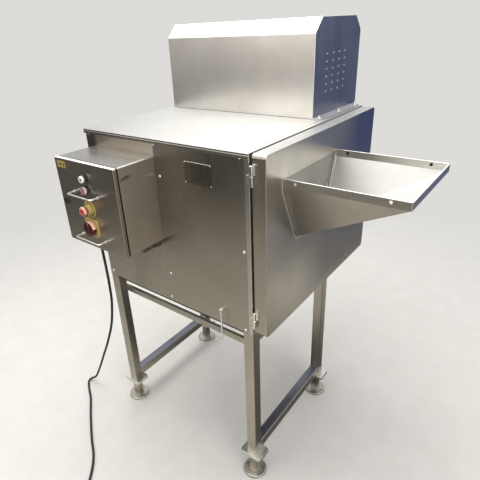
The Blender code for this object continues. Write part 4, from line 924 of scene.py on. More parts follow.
for front_back, (y0, y1) in zip(("front", "back"), LEG_Y):
    for side, (x0, x1) in zip(("left", "right"), LEG_X):
        x, y = (x0 + x1) / 2, (y0 + y1) / 2
        foot = lathe(f"foot_disc_{front_back}_{side}", (x, y, FLOOR_Z), UP,
                     [(0, 0.0438), (0.0012, 0.045), (0.0058, 0.045), (0.0074, 0.0438),
                      (0.008, 0.0425)], "tube_steel", 64)
        cut(foot, *[lathe("hole", (x + s * 0.031, y, FLOOR_Z - 0.01), UP,
                          [(0, 0.0045), (0.0165, 0.0045), (0.0185, 0.0062), (0.03, 0.0062)],
                          n=28) for s in (-1, 1)])
        piece(foot, "frame_tube", f"foot_{front_back}_{side}")

# ================================================================= housing
LIP_Z = -0.0035  # the side sheets end here, under the top sheet
LEVER_X, LEVER_Z = -0.116, -0.539

# front sheet in darker, shaded steel; its strip beside the door is a painted highlight, past a fine
# seam
front = box("front_sheet", (LEFT_X, 0, BASE_Z), (0, 0.030, LIP_Z), "sheet_front", 0.0035, 5, "Z")
cut(front, box("inside", (LEFT_X + SHEET, SHEET, BASE_Z - 0.01), (-SHEET, 0.05, 0.01),
               bevel=0.0016, edges="Z"),
    cylinder("lever_hole", (LEVER_X, -0.01, LEVER_Z), (LEVER_X, 0.01, LEVER_Z), 0.0057, n=32),
    prism("cable_hole", rounded(-0.56, -0.25, -0.48, -0.15, 0.01), "Y", -0.01, 0.01))
cut(front, box("seam", (-0.0163, -0.01, BASE_Z - 0.01), (-0.0154, 0.0007, 0.01)))
# painted highlight on the strip beside the door
for direction in (FORWARD, RIGHT):
    paint(front, direction, 0.3, "sheet_strip", lambda c: c.x > -0.0156)
piece(soften(front, 0.0004), "brushed_sheet", "front_panel")

FRONT_SCREWS = [  # x, z
    (-0.700, -0.016), (-0.365, -0.017), (-0.030, -0.015), (-0.694, -0.583), (-0.360, -0.586),
    (-0.028, -0.592), (-0.351, -0.121), (-0.352, -0.484), (-0.0249, -0.304)]
screws = []
for x, z in FRONT_SCREWS:
    screws += button_screw((x, 0.0, z), FORWARD, 0.0052, 0.0032, 0.0064 if z < -0.55 else 0.0)
piece(join("front_screws", screws), "bright_steel")

# top sheet with two grooves along its folded front lip
top = box("top_sheet", (LEFT_X - 0.003, -0.0045, -0.016), (0.0005, REAR_Y + 0.001, 0.0),
          "sheet_top", 0.002, 4)
cut(top, box("inside", (LEFT_X - 0.0012, -0.0025, -0.05), (0.01, REAR_Y + 0.01, -SHEET),
             bevel=0.002, edges="Z"),
    prism("lift_opening", rounded(-0.570, 0.500, -0.150, 0.735, 0.008), "Z", -0.01, 0.01),
    lathe("hole", (-0.058, 0.030, -0.01), UP, [(0, 0.0024), (0.02, 0.0024)], n=20))
for z0, z1 in ((-0.0050, -0.0018), (-0.0104, -0.0084)):
    cut(top, box("fold_groove", (LEFT_X - 0.01, -0.0060, z0), (0.01, -0.0034, z1)))
cut(top, box("seam", (-0.0195, -0.02, -0.0007), (-0.0183, REAR_Y + 0.02, 0.01)))
paint(top, LEFT, 0.72, "sheet_side")
# painted shade on the lower lip, a painted highlight on the fold, near-black painted shade in the
# grooves
paint(top, FORWARD, 0.30, "sheet_top_lip", lambda c: c.z < -0.0100)
paint(top, FORWARD, 0.30, "sheet_top_fold", lambda c: -0.0086 < c.z < -0.0048)
paint(top, FORWARD, ANY_WAY, "gap_dark",
      lambda c: -0.0044 < c.y < -0.0032
      and (-0.0051 < c.z < -0.0017 or -0.0105 < c.z < -0.0083))
piece(soften(top, 0.0003), "brushed_sheet", "top_panel")

# near-black strips as painted shade between the housing and the stand, and in the seam beside the
# door
piece(box("underside_shade_strip", (LEFT_X + 0.0405, 0.0035, BASE_Z - 0.0090),
          (-0.0405, 0.0130, BASE_Z - 0.0004), "gap_dark", 0.001, 2), "seal_rubber")
piece(box("seam_shade_strip", (-0.01945, -0.0020, -0.00068), (-0.01835, 0.4550, -0.00020),
          "gap_dark"), "seal_rubber")

# left sheet with the outlet opening and its rolled edge
left = box("left_sheet", (LEFT_X, 0.0303, BASE_Z), (LEFT_X + SHEET, REAR_Y, LIP_Z), "sheet_side")
cut(left, prism("outlet", rounded(0.120, -0.400, 0.405, -0.190, 0.02, 8), "X", -0.75, -0.70))
piece(soften(left, 0.0005), "brushed_sheet", "left_panel")
rim = [(LEFT_X + 0.0004, y, z) for y, z in (
    (0.26, -0.190), (0.405, -0.190), (0.405, -0.400), (0.120, -0.400), (0.120, -0.190),
    (0.2599, -0.190))]
piece(sweep("outlet_edge_roll", bend_path(rim, 0.02), 0.0015, "sheet_side", 10),
      "brushed_sheet")

screws = []
for y, z in ((0.055, -0.030), (0.745, -0.030), (0.055, -0.575), (0.745, -0.575),
             (0.400, -0.030), (0.400, -0.575)):
    screws += button_screw((LEFT_X, y, z), LEFT, 0.0052, 0.0032, 0.0064)
for x, z in ((-0.680, -0.030), (-0.360, -0.030), (-0.040, -0.030), (-0.680, -0.575),
             (-0.360, -0.575), (-0.040, -0.575), (-0.680, -0.300), (-0.040, -0.300)):
    screws += button_screw((x, REAR_Y, z), BACKWARD, 0.0052, 0.0032, 0.0064)
piece(join("panel_screws", screws), "bright_steel")

# back and door-side sheet; the door closes its mouth
back = box("rear_sheet", (LEFT_X + SHEET + 0.0003, 0.0303, BASE_Z), (0, REAR_Y, LIP_Z),
           "sheet_side", 0.0030, 4, "Z")
cut(back, box("inside", (LEFT_X - 0.02, 0.02, BASE_Z - 0.01), (-SHEET, REAR_Y - SHEET, 0.01),
              bevel=0.0014, segments=2, edges="Z"),
    prism("mouth", rounded(0.045, -0.575, 0.745, -0.028, 0.015), "X", -0.02, 0.02))
piece(soften(back, 0.0005), "brushed_sheet", "rear_shell")

# cover on the back, with screws round its edge
cover = prism("rear_cover_sheet", rounded(-0.640, -0.520, -0.075, -0.120, 0.010),
              "Y", REAR_Y + 0.0003, REAR_Y + 0.0021, "sheet_side")
piece(soften(cover, 0.0006), "brushed_sheet")
screws = []
for x in (-0.625, -0.3575, -0.090):
    for z in (-0.505, -0.320, -0.135):
        if (x, z) != (-0.3575, -0.320):
            screws += button_screw((x, REAR_Y + 0.0021, z), BACKWARD, 0.0046, 0.0028, 0.0060)
piece(join("rear_cover_screws", screws), "bright_steel")

for node, material in (("base_pan", "inner_sheet"), ("bulkhead", "inner_sheet"),
                       ("outfeed_chute", "sheet_scoop")):
    piece(refine(node, material, 0.0006), "brushed_sheet", node)
lo, hi = grid_box("outfeed_chute")
lip = [(lo.x + 0.0006, y, lo.z + 0.0016) for y in (lo.y + 0.001, hi.y - 0.001)]
piece(sweep("outfeed_lip_roll", lip, 0.0016, "sheet_scoop", 12), "brushed_sheet")

# ================================================================= drive hood
HOOD_CHAMFER = 0.048
VENTS = [(0.548 + 0.0477 * column, 0.080 + 0.0245 * row)  # y, z
         for row in range(6) for column in range(4)]


def hood_outline(inset, r):
    y0, y1, z1 = HOOD_Y0 + inset, HOOD_Y1 - inset, HOOD_Z - inset
    c = HOOD_CHAMFER - 0.4 * inset
    points = [(y0, 0.0003), (y1, 0.0003), (y1, z1 - c), (y1 - c, z1), (y0 + c, z1), (y0, z1 - c)]
    return fillet(points, [0, 0, r, r, r, r])


# hood front in brighter steel: painted light
hood = prism("hood_wrap", hood_outline(0.0, 0.0050), "X", HOOD_X0, HOOD_X1, "sheet_hood")
round_rims(hood, "X", (HOOD_X0, HOOD_X1), 0.0024, above=0.001)
inner = [(y, z - 0.02 if z < 0.01 else z) for y, z in hood_outline(SHEET, 0.0032)]
vents = [prism("vent", [(y - 0.0015, z - 0.0030), (y + 0.0042, z - 0.0020), (y + 0.0056, z),
                        (y + 0.0042, z + 0.0020), (y - 0.0015, z + 0.0030)],
               "X", HOOD_X1 - 0.02, HOOD_X1 + 0.02) for y, z in VENTS]
cut(hood, prism("inside", inner, "X", HOOD_X0 + SHEET, HOOD_X1 - SHEET), *vents)
# painted light: a blue reflection on the infeed end, a lit top
paint(hood, RIGHT, 0.9, "sheet_hood_side")
paint(hood, LEFT, 0.9, "sheet_side")
paint(hood, UP, 0.5, "sheet_hood_top", lambda c: c.z > 0.2)
piece(soften(hood, 0.0006), "brushed_sheet", "hood")
# grey strip along the hood's foot: painted shade at the joint
piece(box("hood_foot_shade_strip", (HOOD_X0 + 0.002, HOOD_Y0 - 0.0013, 0.0001),
          (HOOD_X1 - 0.002, HOOD_Y0 - 0.0001, 0.0016), "grey_sealant", 0.0003, 1),
      "seal_rubber")


def louvre(x, y, z):
    """Punched half-dome louvre, open towards +Y."""
    # in the hood end's painted blue reflection
    dome = ellipsoid((x, y, z), (0.0034, 0.0066, 0.0046), "sheet_hood_side")
    return cut(dome, ellipsoid((x, y, z), (0.0026, 0.0057, 0.0037)),
               box("in", (x - 0.02, y - 0.02, z - 0.02), (x - 0.0001, y + 0.02, z + 0.02)),
               box("mouth", (x - 0.02, y + 0.0018, z - 0.02), (x + 0.02, y + 0.02, z + 0.02)))


first = louvre(HOOD_X1, *VENTS[0])
pattern = baked(first)
louvres = []
for y, z in VENTS:
    mesh = pattern.copy()
    mesh.transform(Matrix.Translation((0, y - VENTS[0][0], z - VENTS[0][1])))
    louvres.append(scene_object("louvre", mesh))
remove(first)
piece(join("hood_louvres", louvres), "brushed_sheet")

FLANGE_TOP = 0.0031
flanges = [soften(box("flange", (x0, HOOD_Y0 + 0.002, 0.0003), (x1, REAR_Y, FLANGE_TOP),
                      "sheet_flange"), 0.0006)
           for x0, x1 in ((HOOD_X1 - 0.0005, -0.018), (-0.7155, HOOD_X0 + 0.0005))]
piece(join("hood_flanges", flanges), "brushed_sheet")
# washers, nuts and studs on the right flange, small screws on the left one
studs = []
for y in (0.4650, 0.6200, 0.7660):
    x = -0.030
    studs += [lathe("washer", (x, y, FLANGE_TOP), UP,
                    [(0, 0.0078), (0.001, 0.0078), (0.0013, 0.0073), (0.0013, 0.003)],
                    "machined_steel", 32),
              hexagon((x, y, 0.0044), UP, 0.010, 0.005), stud((x, y, 0.0090), 0.0029, 0.005),
              *button_screw((-0.710, y, FLANGE_TOP), UP, 0.0042, 0.0026)]
piece(join("hood_studs", studs), "bright_steel")

# ================================================================= side door with scoop
DOOR_X0, DOOR_X1 = 0.010, 0.054
DOOR_Y0, DOOR_Y1, DOOR_Z0, DOOR_Z1 = -0.001, 0.762, -0.590, 0.000
SCOOP_X1, SCOOP_Y0, SCOOP_Y1 = 0.401, 0.088, 0.438
RIM_Z, BAND_Z, SCOOP_Z = -0.087, -0.109, -0.300  # top and foot of the upright band, scoop floor
TAPER = 0.079  # how far each scoop wall leans in at the door
FLAP_X, FLAP_Z = 0.0465, RIM_Z + 0.006  # the flap's rod
SCOOP_BACK = DOOR_X1 + 0.0003  # against the door's face

door = prism("door_pan", rounded(DOOR_Y0, DOOR_Z0, DOOR_Y1, DOOR_Z1, 0.012, 8),
             "X", DOOR_X0, DOOR_X1, "sheet_side")
round_rims(door, "X", (DOOR_X1,), 0.0030)
mouth = [(SCOOP_Y0 + 0.004, RIM_Z - 0.003), (SCOOP_Y1 - 0.004, RIM_Z - 0.003),
         (SCOOP_Y1 - TAPER - 0.002, SCOOP_Z + 0.002), (SCOOP_Y0 + TAPER + 0.002, SCOOP_Z + 0.002)]


def door_inset(inset, r, n):
    return rounded(DOOR_Y0 + inset, DOOR_Z0 + inset, DOOR_Y1 - inset, DOOR_Z1 - inset, r, n)


cut(door,
    prism("inside", door_inset(SHEET, 0.010, 8), "X", DOOR_X0 + SHEET, DOOR_X1 - SHEET),
    prism("rim", door_inset(0.020, 0.006, 5), "X", DOOR_X0 - 0.01, DOOR_X0 + 0.01),
    prism("mouth", fillet(mouth, 0.006, 4), "X", DOOR_X1 - 0.01, DOOR_X1 + 0.01))
lug_x1 = DOOR_X1 - SHEET + 0.0005
lug = fillet([(0.040, FLAP_Z - 0.009), (lug_x1, FLAP_Z - 0.009),
              (lug_x1, FLAP_Z + 0.009), (0.040, FLAP_Z + 0.009)], [0.005, 0, 0, 0.005])
fuse(door, *[prism("lug", lug, "Y", y - 0.004, y + 0.004)
             for y in (SCOOP_Y0 - 0.0005, SCOOP_Y1 + 0.0005)])
cut(door, cylinder("bore", (FLAP_X, SCOOP_Y0 - 0.003, FLAP_Z), (FLAP_X, SCOOP_Y1 + 0.003, FLAP_Z),
                   0.0045, n=28))
# painted light and shade: a lit top, a shaded front edge; the face carries painted patches of light
# and shade
paint(door, RIGHT, 0.8, "sheet_door_face", lambda c: c.x > DOOR_X1 - 0.003)
paint(door, UP, 0.7, "sheet_door_top", lambda c: c.z > -0.005)
paint(door, FORWARD, 0.8, "sheet_door_edge", lambda c: c.y < 0.005)
piece(soften(door, 0.0006), "brushed_sheet", "main_door", body="main_door")

gasket = prism("door_seal", rounded(0.007, -0.583, 0.755, -0.0175, 0.010, 8),
               "X", 0.0003, 0.0097, "seal_rubber")
cut(gasket, prism("inside", rounded(0.019, -0.571, 0.743, -0.0295, 0.005), "X", -0.01, 0.02))
piece(soften(gasket, 0.0024, 4), "seal_rubber", "door_gasket", body="main_door")


def scoop_corners(inset):
    y0, y1, x1 = SCOOP_Y0 + inset, SCOOP_Y1 - inset, SCOOP_X1 - inset
    top_z, low_z, toe_z = BAND_Z + 0.001, SCOOP_Z + inset, BAND_Z - 0.001 + inset * 0.4
    return [(SCOOP_BACK, y0, top_z), (SCOOP_BACK, y1, top_z), (x1, y0, top_z), (x1, y1, top_z),
            (SCOOP_BACK, y0 + TAPER, low_z), (SCOOP_BACK, y1 - TAPER, low_z),
            (x1, y0, toe_z), (x1, y1, toe_z)]


# tapered scoop with an upright band round its top and a flange on the door
scoop = hull("scoop_sheet", scoop_corners(0.0), "sheet_scoop")
band = box("band", (SCOOP_BACK, SCOOP_Y0 - 0.003, BAND_Z), (SCOOP_X1 + 0.003, SCOOP_Y1 + 0.003,
                                                            RIM_Z), bevel=0.0042, segments=5,
           edges="Z")
flange = [(SCOOP_Y0 - 0.010, RIM_Z), (SCOOP_Y1 + 0.010, RIM_Z),
          (SCOOP_Y1 + 0.010, BAND_Z - 0.012), (SCOOP_Y1 - TAPER + 0.012, SCOOP_Z + 0.004),
          (SCOOP_Y1 - TAPER - 0.006, SCOOP_Z - 0.012), (SCOOP_Y0 + TAPER + 0.006, SCOOP_Z - 0.012),
          (SCOOP_Y0 + TAPER - 0.012, SCOOP_Z + 0.004), (SCOOP_Y0 - 0.010, BAND_Z - 0.012)]
fuse(scoop, band,
     prism("flange", fillet(flange, [0.002, 0.002, 0.01, 0.012, 0.006, 0.006, 0.012, 0.01]),
           "X", SCOOP_BACK, DOOR_X1 + 0.0025))
# the hollow runs on past the flange, along the same slopes
OVERRUN = 0.03
inner = [((x - OVERRUN if x < 0.1 else x), y, z) for x, y, z in scoop_corners(SHEET)]
slope = (SCOOP_Z - BAND_Z) / (SCOOP_X1 - DOOR_X1)
lean = TAPER / (SCOOP_X1 - DOOR_X1)
for k, side in ((4, 1), (5, -1)):
    x, y, z = inner[k]
    inner[k] = (x, y + side * OVERRUN * lean, z + OVERRUN * slope)
BAND_HOLES_X, BAND_HOLES_Z = (0.094, 0.3535), -0.0955
holes = [cylinder("hole", (x, y - 0.02, BAND_HOLES_Z), (x, y + 0.02, BAND_HOLES_Z), 0.0047, n=32)
         for x in BAND_HOLES_X for y in (SCOOP_Y0, SCOOP_Y1)]
cut(scoop, hull("inside", inner),
    box("band_inside", (DOOR_X1 - 0.02, SCOOP_Y0 + SHEET, BAND_Z - 0.0005),
        (SCOOP_X1 - SHEET, SCOOP_Y1 - SHEET, RIM_Z + 0.01), bevel=0.002, edges="Z"),
    box("trim", (DOOR_X1 - 0.02, SCOOP_Y0 + 0.01, RIM_Z - 0.001),
        (DOOR_X1 + 0.01, SCOOP_Y1 - 0.01, RIM_Z + 0.01)), *holes)
# painted light and shade: a lit inside, shaded outside faces
paint(scoop, UP, 0.25, "sheet_scoop_inside")
paint(scoop, FORWARD, 0.3, "sheet_scoop_outside", lambda c: c.y < 0.30)
paint(scoop, DOWN, 0.3, "sheet_scoop_outside")
piece(soften(scoop, 0.0006), "brushed_sheet", "infeed_chute", body="main_door")

# hem in the scoop's lit steel: painted highlight along the rim
hem = [(x, y, RIM_Z - 0.0012) for x, y in (
    (DOOR_X1 + 0.004, SCOOP_Y0 - 0.0012), (SCOOP_X1 + 0.0012, SCOOP_Y0 - 0.0012),
    (SCOOP_X1 + 0.0012, SCOOP_Y1 + 0.0012), (DOOR_X1 + 0.004, SCOOP_Y1 + 0.0012))]
piece(sweep("scoop_hem", bend_path(hem, 0.005), 0.0018, "sheet_scoop_inside", 12),
      "brushed_sheet", body="main_door")

# stop strip the flap closes against, on the rear wall of the mouth, in the scoop's lit steel
strip = [(SCOOP_Y1 - 0.0030, BAND_Z + 0.018), (SCOOP_Y1 - 0.0030, BAND_Z),
         (SCOOP_Y1 - TAPER - 0.0030, SCOOP_Z + 0.0035),
         (SCOOP_Y1 - TAPER - 0.0135, SCOOP_Z + 0.0035),
         (SCOOP_Y1 - 0.0135, BAND_Z - 0.001), (SCOOP_Y1 - 0.0135, BAND_Z + 0.018)]
piece(soften(prism("flap_stop", strip, "X", 0.0482, 0.0498, "sheet_scoop_inside"), 0.0004),
      "brushed_sheet", body="main_door")
# near-black discs in the band's holes: painted shade inside the holes
ends = [lathe("hole_shade_disc", (x, SCOOP_Y1 - 0.0030, BAND_HOLES_Z), FORWARD,
              [(0, 0.0046), (0.003, 0.0044), (0.0034, 0.0036), (0.0034, 0.0)], "gap_dark", 28)
        for x in BAND_HOLES_X]
piece(join("band_hole_shade_discs", ends), "black_plastic", body="main_door")

# rolled edge of the scoop's flange on the door, a painted highlight in the scoop's lit steel
edge = fillet([(SCOOP_Y1 + 0.0095, BAND_Z - 0.012),
               (SCOOP_Y1 - TAPER + 0.0118, SCOOP_Z + 0.0042),
               (SCOOP_Y1 - TAPER - 0.006, SCOOP_Z - 0.0115),
               (SCOOP_Y0 + TAPER + 0.006, SCOOP_Z - 0.0115),
               (SCOOP_Y0 + TAPER - 0.0118, SCOOP_Z + 0.0042),
               (SCOOP_Y0 - 0.0095, BAND_Z - 0.012)], [0, 0.012, 0.006, 0.006, 0.012, 0], 6)
edge = [(SCOOP_Y1 + 0.0095, RIM_Z - 0.001), *edge, (SCOOP_Y0 - 0.0095, RIM_Z - 0.001)]
piece(sweep("flange_edge_roll", [(DOOR_X1 + 0.0022, y, z) for y, z in edge], 0.0011,
            "sheet_scoop_inside", 10), "brushed_sheet", body="main_door")

# seams along the scoop's folded corners, painted highlights in the scoop's lit steel
seams = [bead([(DOOR_X1 + 0.003, low_y, SCOOP_Z + 0.0022), (SCOOP_X1 - 0.003, top_y,
                                                            BAND_Z + 0.0002)],
              0.0011, step=0.0022, material="sheet_scoop_inside")
         for top_y, low_y in ((SCOOP_Y0 + 0.0008, SCOOP_Y0 + TAPER + 0.0008),
                              (SCOOP_Y1 - 0.0008, SCOOP_Y1 - TAPER - 0.0008))]
piece(join("scoop_seams", seams), "brushed_sheet", body="main_door")

# flap hanging inside the door on a rod, in dark steel as painted shade
flap_outline = [
    (SCOOP_Y0 + 0.006, FLAP_Z - 0.004), (SCOOP_Y1 - 0.006, FLAP_Z - 0.004),
    (SCOOP_Y1 - 0.006, FLAP_Z - 0.0105), (SCOOP_Y1 + 0.004, FLAP_Z - 0.0105),
    (SCOOP_Y1 + 0.004, BAND_Z - 0.004), (SCOOP_Y1 - TAPER + 0.012, SCOOP_Z - 0.006),
    (SCOOP_Y0 + TAPER - 0.012, SCOOP_Z - 0.006), (SCOOP_Y0 - 0.004, BAND_Z - 0.004),
    (SCOOP_Y0 - 0.004, FLAP_Z - 0.0105), (SCOOP_Y0 + 0.006, FLAP_Z - 0.0105)]
flap_radii = [0, 0, 0.001, 0.002, 0.004, 0.006, 0.006, 0.004, 0.002, 0.001]
flap = prism("flap_sheet", fillet(flap_outline, flap_radii, 4),
             "X", 0.0455, 0.0475, "sheet_flap")
fuse(flap, cylinder("rod", (FLAP_X, SCOOP_Y0 - 0.002, FLAP_Z), (FLAP_X, SCOOP_Y1 + 0.002, FLAP_Z),
                    0.004, n=28),
     box("web", (0.0456, SCOOP_Y0 + 0.007, FLAP_Z - 0.008),
         (0.0474, SCOOP_Y1 - 0.007, FLAP_Z - 0.002)))
piece(soften(flap, 0.0005), "brushed_sheet", "infeed_flap", body="infeed_flap")

# lift-off hinges: a pin half on the housing, a socket half on the door
HINGE_X, HINGE_Y, HINGE_R = 0.0125, -0.0085, 0.0062
pin_leaf = [(HINGE_X, HINGE_Y + 0.003), (HINGE_X - 0.004, HINGE_Y - 0.003), (0.0005, -0.0040),
            (-0.0095, -0.0022), (-0.0100, -0.0018), (-0.0100, -0.0003), (-0.002, -0.0003),
            (0.004, -0.0003)]
socket_leaf = [(HINGE_X, HINGE_Y - 0.003), (HINGE_X + 0.0085, DOOR_Y0 - 0.0028),
               (HINGE_X + 0.0120, DOOR_Y0 - 0.0013), (HINGE_X + 0.0124, DOOR_Y0 - 0.0003),
               (HINGE_X - 0.001, DOOR_Y0 - 0.0003), (HINGE_X - 0.001, HINGE_Y + 0.002)]
for level, z in (("upper", -0.0585), ("lower", -0.5320)):
    pin = lathe(f"{level}_hinge_pin_half", (HINGE_X, HINGE_Y, z - 0.031), UP,
                [(0, 0.0044), (0.0006, 0.0054), (0.0016, HINGE_R), (0.0293, HINGE_R),
                 (0.0305, HINGE_R - 0.0009), (0.0305, 0.0031), (0.0535, 0.0031),
                 (0.055, 0.0022)], "polished_steel", 40)
    fuse(pin, prism("leaf", pin_leaf, "Z", z - 0.029, z - 0.002))
    # pin leaf's front in the strip's painted highlight
    paint(pin, FORWARD, 0.5, "sheet_strip", lambda c: c.x < 0.004 and c.y > -0.0075)
    piece(soften(pin, 0.0005), "bright_steel", f"{level}_hinge_fixed_half")
    socket = lathe(f"{level}_hinge_socket_half", (HINGE_X, HINGE_Y, z), UP,
                   [(0, HINGE_R - 0.0008), (0.001, HINGE_R), (0.0272, HINGE_R),
                    (0.0288, 0.0054), (0.03, 0.0038)], "polished_steel", 40)
    fuse(socket, prism("leaf", socket_leaf, "Z", z + 0.001, z + 0.029))
    cut(socket, cylinder("pin_hole", (HINGE_X, HINGE_Y, z - 0.005), (HINGE_X, HINGE_Y, z + 0.0268),
                         0.00335, n=32))
    # socket leaf's front in the front's darker, shaded steel
    paint(socket, FORWARD, 0.3, "sheet_front", lambda c: c.x > HINGE_X + 0.0063)
    piece(soften(socket, 0.0005), "bright_steel", f"{level}_hinge_door_half", body="main_door")

# turning latch under the door
LATCH_X, LATCH_Y = 0.030, 0.642
latch = lathe("latch_turn", (LATCH_X, LATCH_Y, DOOR_Z0 - 0.0003), DOWN,
              [(0, 0.0072), (0.0006, 0.008), (0.0038, 0.008), (0.006, 0.0065)],
              "polished_steel", 36)
fuse(latch, prism("tongue", rounded(-0.012, LATCH_Y - 0.006, 0.036, LATCH_Y + 0.006, 0.0055),
                  "Z", DOOR_Z0 - 0.0185, DOOR_Z0 - 0.0155),
     cylinder("post", (LATCH_X, LATCH_Y, DOOR_Z0 - 0.004), (LATCH_X, LATCH_Y, DOOR_Z0 - 0.018),
              0.005, n=32))
piece(soften(latch, 0.0005), "bright_steel", "door_latch", body="door_latch")

# ================================================================= control box
BOX_Y = -0.166  # front of the box door
SEAL_Y = BOX_Y + 0.0125
SHELL_Y = SEAL_Y + 0.0035
JOINT_Y = SHELL_Y + 0.0030
FACE_Y = BOX_Y - 0.0003  # where the controls sit
LOCK_X, LOCK_Z = -0.645, (BOX_Z0 + BOX_Z1) / 2
CONTROL_X = -0.520
BUTTON_Z, SELECTOR_Z, ESTOP_Z, SWITCH_Z = -0.108, -0.146, -0.212, -0.277
POWER_X, POWER_Y, MOTOR_X, MOTOR_Y = -0.605, -0.094, -0.402, -0.070  # cable glands


def bore(x, z, r, n):
    """Cutter from the housing's front out through the box door."""
    return cylinder("bore", (x, 0, z), (x, -0.2, z), r, n=n)


# box shell and door in darker steel: painted shade on their front
shell = box("box_body", (BOX_X0, JOINT_Y, BOX_Z0), (BOX_X1, -0.0003, BOX_Z1),
            "sheet_box", 0.0045, 5, "Y")
cut(shell, box("inside", (BOX_X0 + 0.0015, SHELL_Y - 0.01, BOX_Z0 + 0.0015),
               (BOX_X1 - 0.0015, -0.0018, BOX_Z1 - 0.0015), bevel=0.003, segments=4, edges="Y"),
    prism("back_hole", rounded(-0.56, -0.25, -0.48, -0.15, 0.008), "Y", -0.01, 0.01),
    *[cylinder("gland_hole", (x, y, BOX_Z0 - 0.01), (x, y, BOX_Z0 + 0.01), 0.0085, n=32)
      for x, y in ((POWER_X, POWER_Y), (MOTOR_X, MOTOR_Y))])
# painted light: a lit top and a lit infeed side
paint(shell, UP, 0.8, "sheet_box_top", lambda c: c.z > BOX_Z1 - 0.01)
paint(shell, RIGHT, 0.8, "sheet_box_side", lambda c: c.x > BOX_X1 - 0.003)
piece(soften(shell, 0.0005), "brushed_sheet", "control_box")

box_door = box("box_door_sheet", (BOX_X0 - 0.001, BOX_Y, BOX_Z0 - 0.001),
               (BOX_X1 + 0.001, SEAL_Y, BOX_Z1 + 0.001), "sheet_box", 0.0052, 5, "Y")
round_rims(box_door, "Y", (BOX_Y,), 0.0026)
cut(box_door, box("inside", (BOX_X0 + 0.0007, BOX_Y + 0.0017, BOX_Z0 + 0.0007),
                  (BOX_X1 - 0.0007, SEAL_Y + 0.01, BOX_Z1 - 0.0007),
                  bevel=0.004, segments=4, edges="Y"),
    *[cylinder("hole", (x, BOX_Y - 0.01, z), (x, BOX_Y + 0.01, z), r, n=32)
      for x, z, r in ((CONTROL_X, BUTTON_Z, 0.0085), (CONTROL_X, SELECTOR_Z, 0.0085),
                      (CONTROL_X, ESTOP_Z, 0.0085), (CONTROL_X, SWITCH_Z, 0.0060),
                      (LOCK_X, LOCK_Z, 0.0085))])
# painted light on the door's top edge
paint(box_door, UP, 0.55, "sheet_door_top", lambda c: c.z > BOX_Z1 - 0.006)
piece(soften(box_door, 0.0005), "brushed_sheet", "control_box_door", body="box_door")

# seal in near-black: painted shade in the gap behind the door
seal = box("box_seal", (BOX_X0 + 0.003, SEAL_Y - 0.008, BOX_Z0 + 0.003),
           (BOX_X1 - 0.003, JOINT_Y - 0.0003, BOX_Z1 - 0.003), "gap_dark", 0.003, 4, "Y")
cut(seal, box("inside", (BOX_X0 + 0.015, SEAL_Y - 0.02, BOX_Z0 + 0.015),
              (BOX_X1 - 0.015, SHELL_Y + 0.02, BOX_Z1 - 0.015)))
piece(soften(seal, 0.0008), "seal_rubber", "control_box_seal", body="box_door")

# yellow label with a dark border and two dark blocks
label = prism("box_label", rounded(BOX_X0 + 0.012, BOX_Z1 - 0.032, BOX_X0 + 0.058,
                                   BOX_Z1 - 0.009, 0.0015, 4),
              "Y", BOX_Y - 0.0006, BOX_Y - 0.0001, "yellow_plastic")
x0, x1, z0, z1 = BOX_X0 + 0.0145, BOX_X0 + 0.0555, BOX_Z1 - 0.0298, BOX_Z1 - 0.0112
LINE = 0.0012
marks = [box("mark", (a, BOX_Y - 0.00072, b), (c, BOX_Y - 0.00058, d), "label_dark")
         for a, b, c, d in (
             (x0, z0, x1, z0 + LINE), (x0, z1 - LINE, x1, z1),
             (x0, z0, x0 + LINE, z1), (x1 - LINE, z0, x1, z1),
             (x0 + 0.0060, z0 + 0.0065, x0 + 0.0260, z1 - 0.0065),
             (x0 + 0.0295, z0 + 0.0045, x1 - 0.0045, z1 - 0.0045))]
piece(join("box_label", [soften(label, 0.0002, 1), *marks]), "yellow_plastic", body="box_door")


def bezel(name, node, z, steps, bore_r, n):
    """Black ring; steps are where its side ends, its rounding breaks and its face lies."""
    profile = [(0, 0.0144), (0.0006, 0.0148), *zip(steps, (0.0148, 0.0142, 0.0134))]
    ring = lathe(name, (CONTROL_X, FACE_Y, z), FORWARD, profile, "black_plastic", 56)
    cut(ring, bore(CONTROL_X, z, bore_r, n))
    piece(soften(ring, 0.0004), "black_plastic", node, body="box_door")


# start button
bezel("button_ring", "button_bezel", BUTTON_Z, (0.0068, 0.0084, 0.0090), 0.0128, 56)
button = lathe("button_head", (CONTROL_X, FACE_Y - 0.0152, BUTTON_Z), BACKWARD,
               [(0.0008, 0), (0.0006, 0.0046), (0.0002, 0.0052), (0, 0.006), (0.0002, 0.01),
                (0.0011, 0.0114), (0.0024, 0.0119), (0.01, 0.0119), (0.01, 0.0078),
                (0.032, 0.0078)], "white_plastic", 56)
insert = lathe("button_insert", (CONTROL_X, FACE_Y - 0.0154, BUTTON_Z), BACKWARD,
               [(0, 0.0), (0.0002, 0.0034), (0.001, 0.0044), (0.0024, 0.0046)],
               "black_plastic", 40)
piece(join("button_cap", [button, insert]), "white_plastic", "start_button",
      body="start_button")

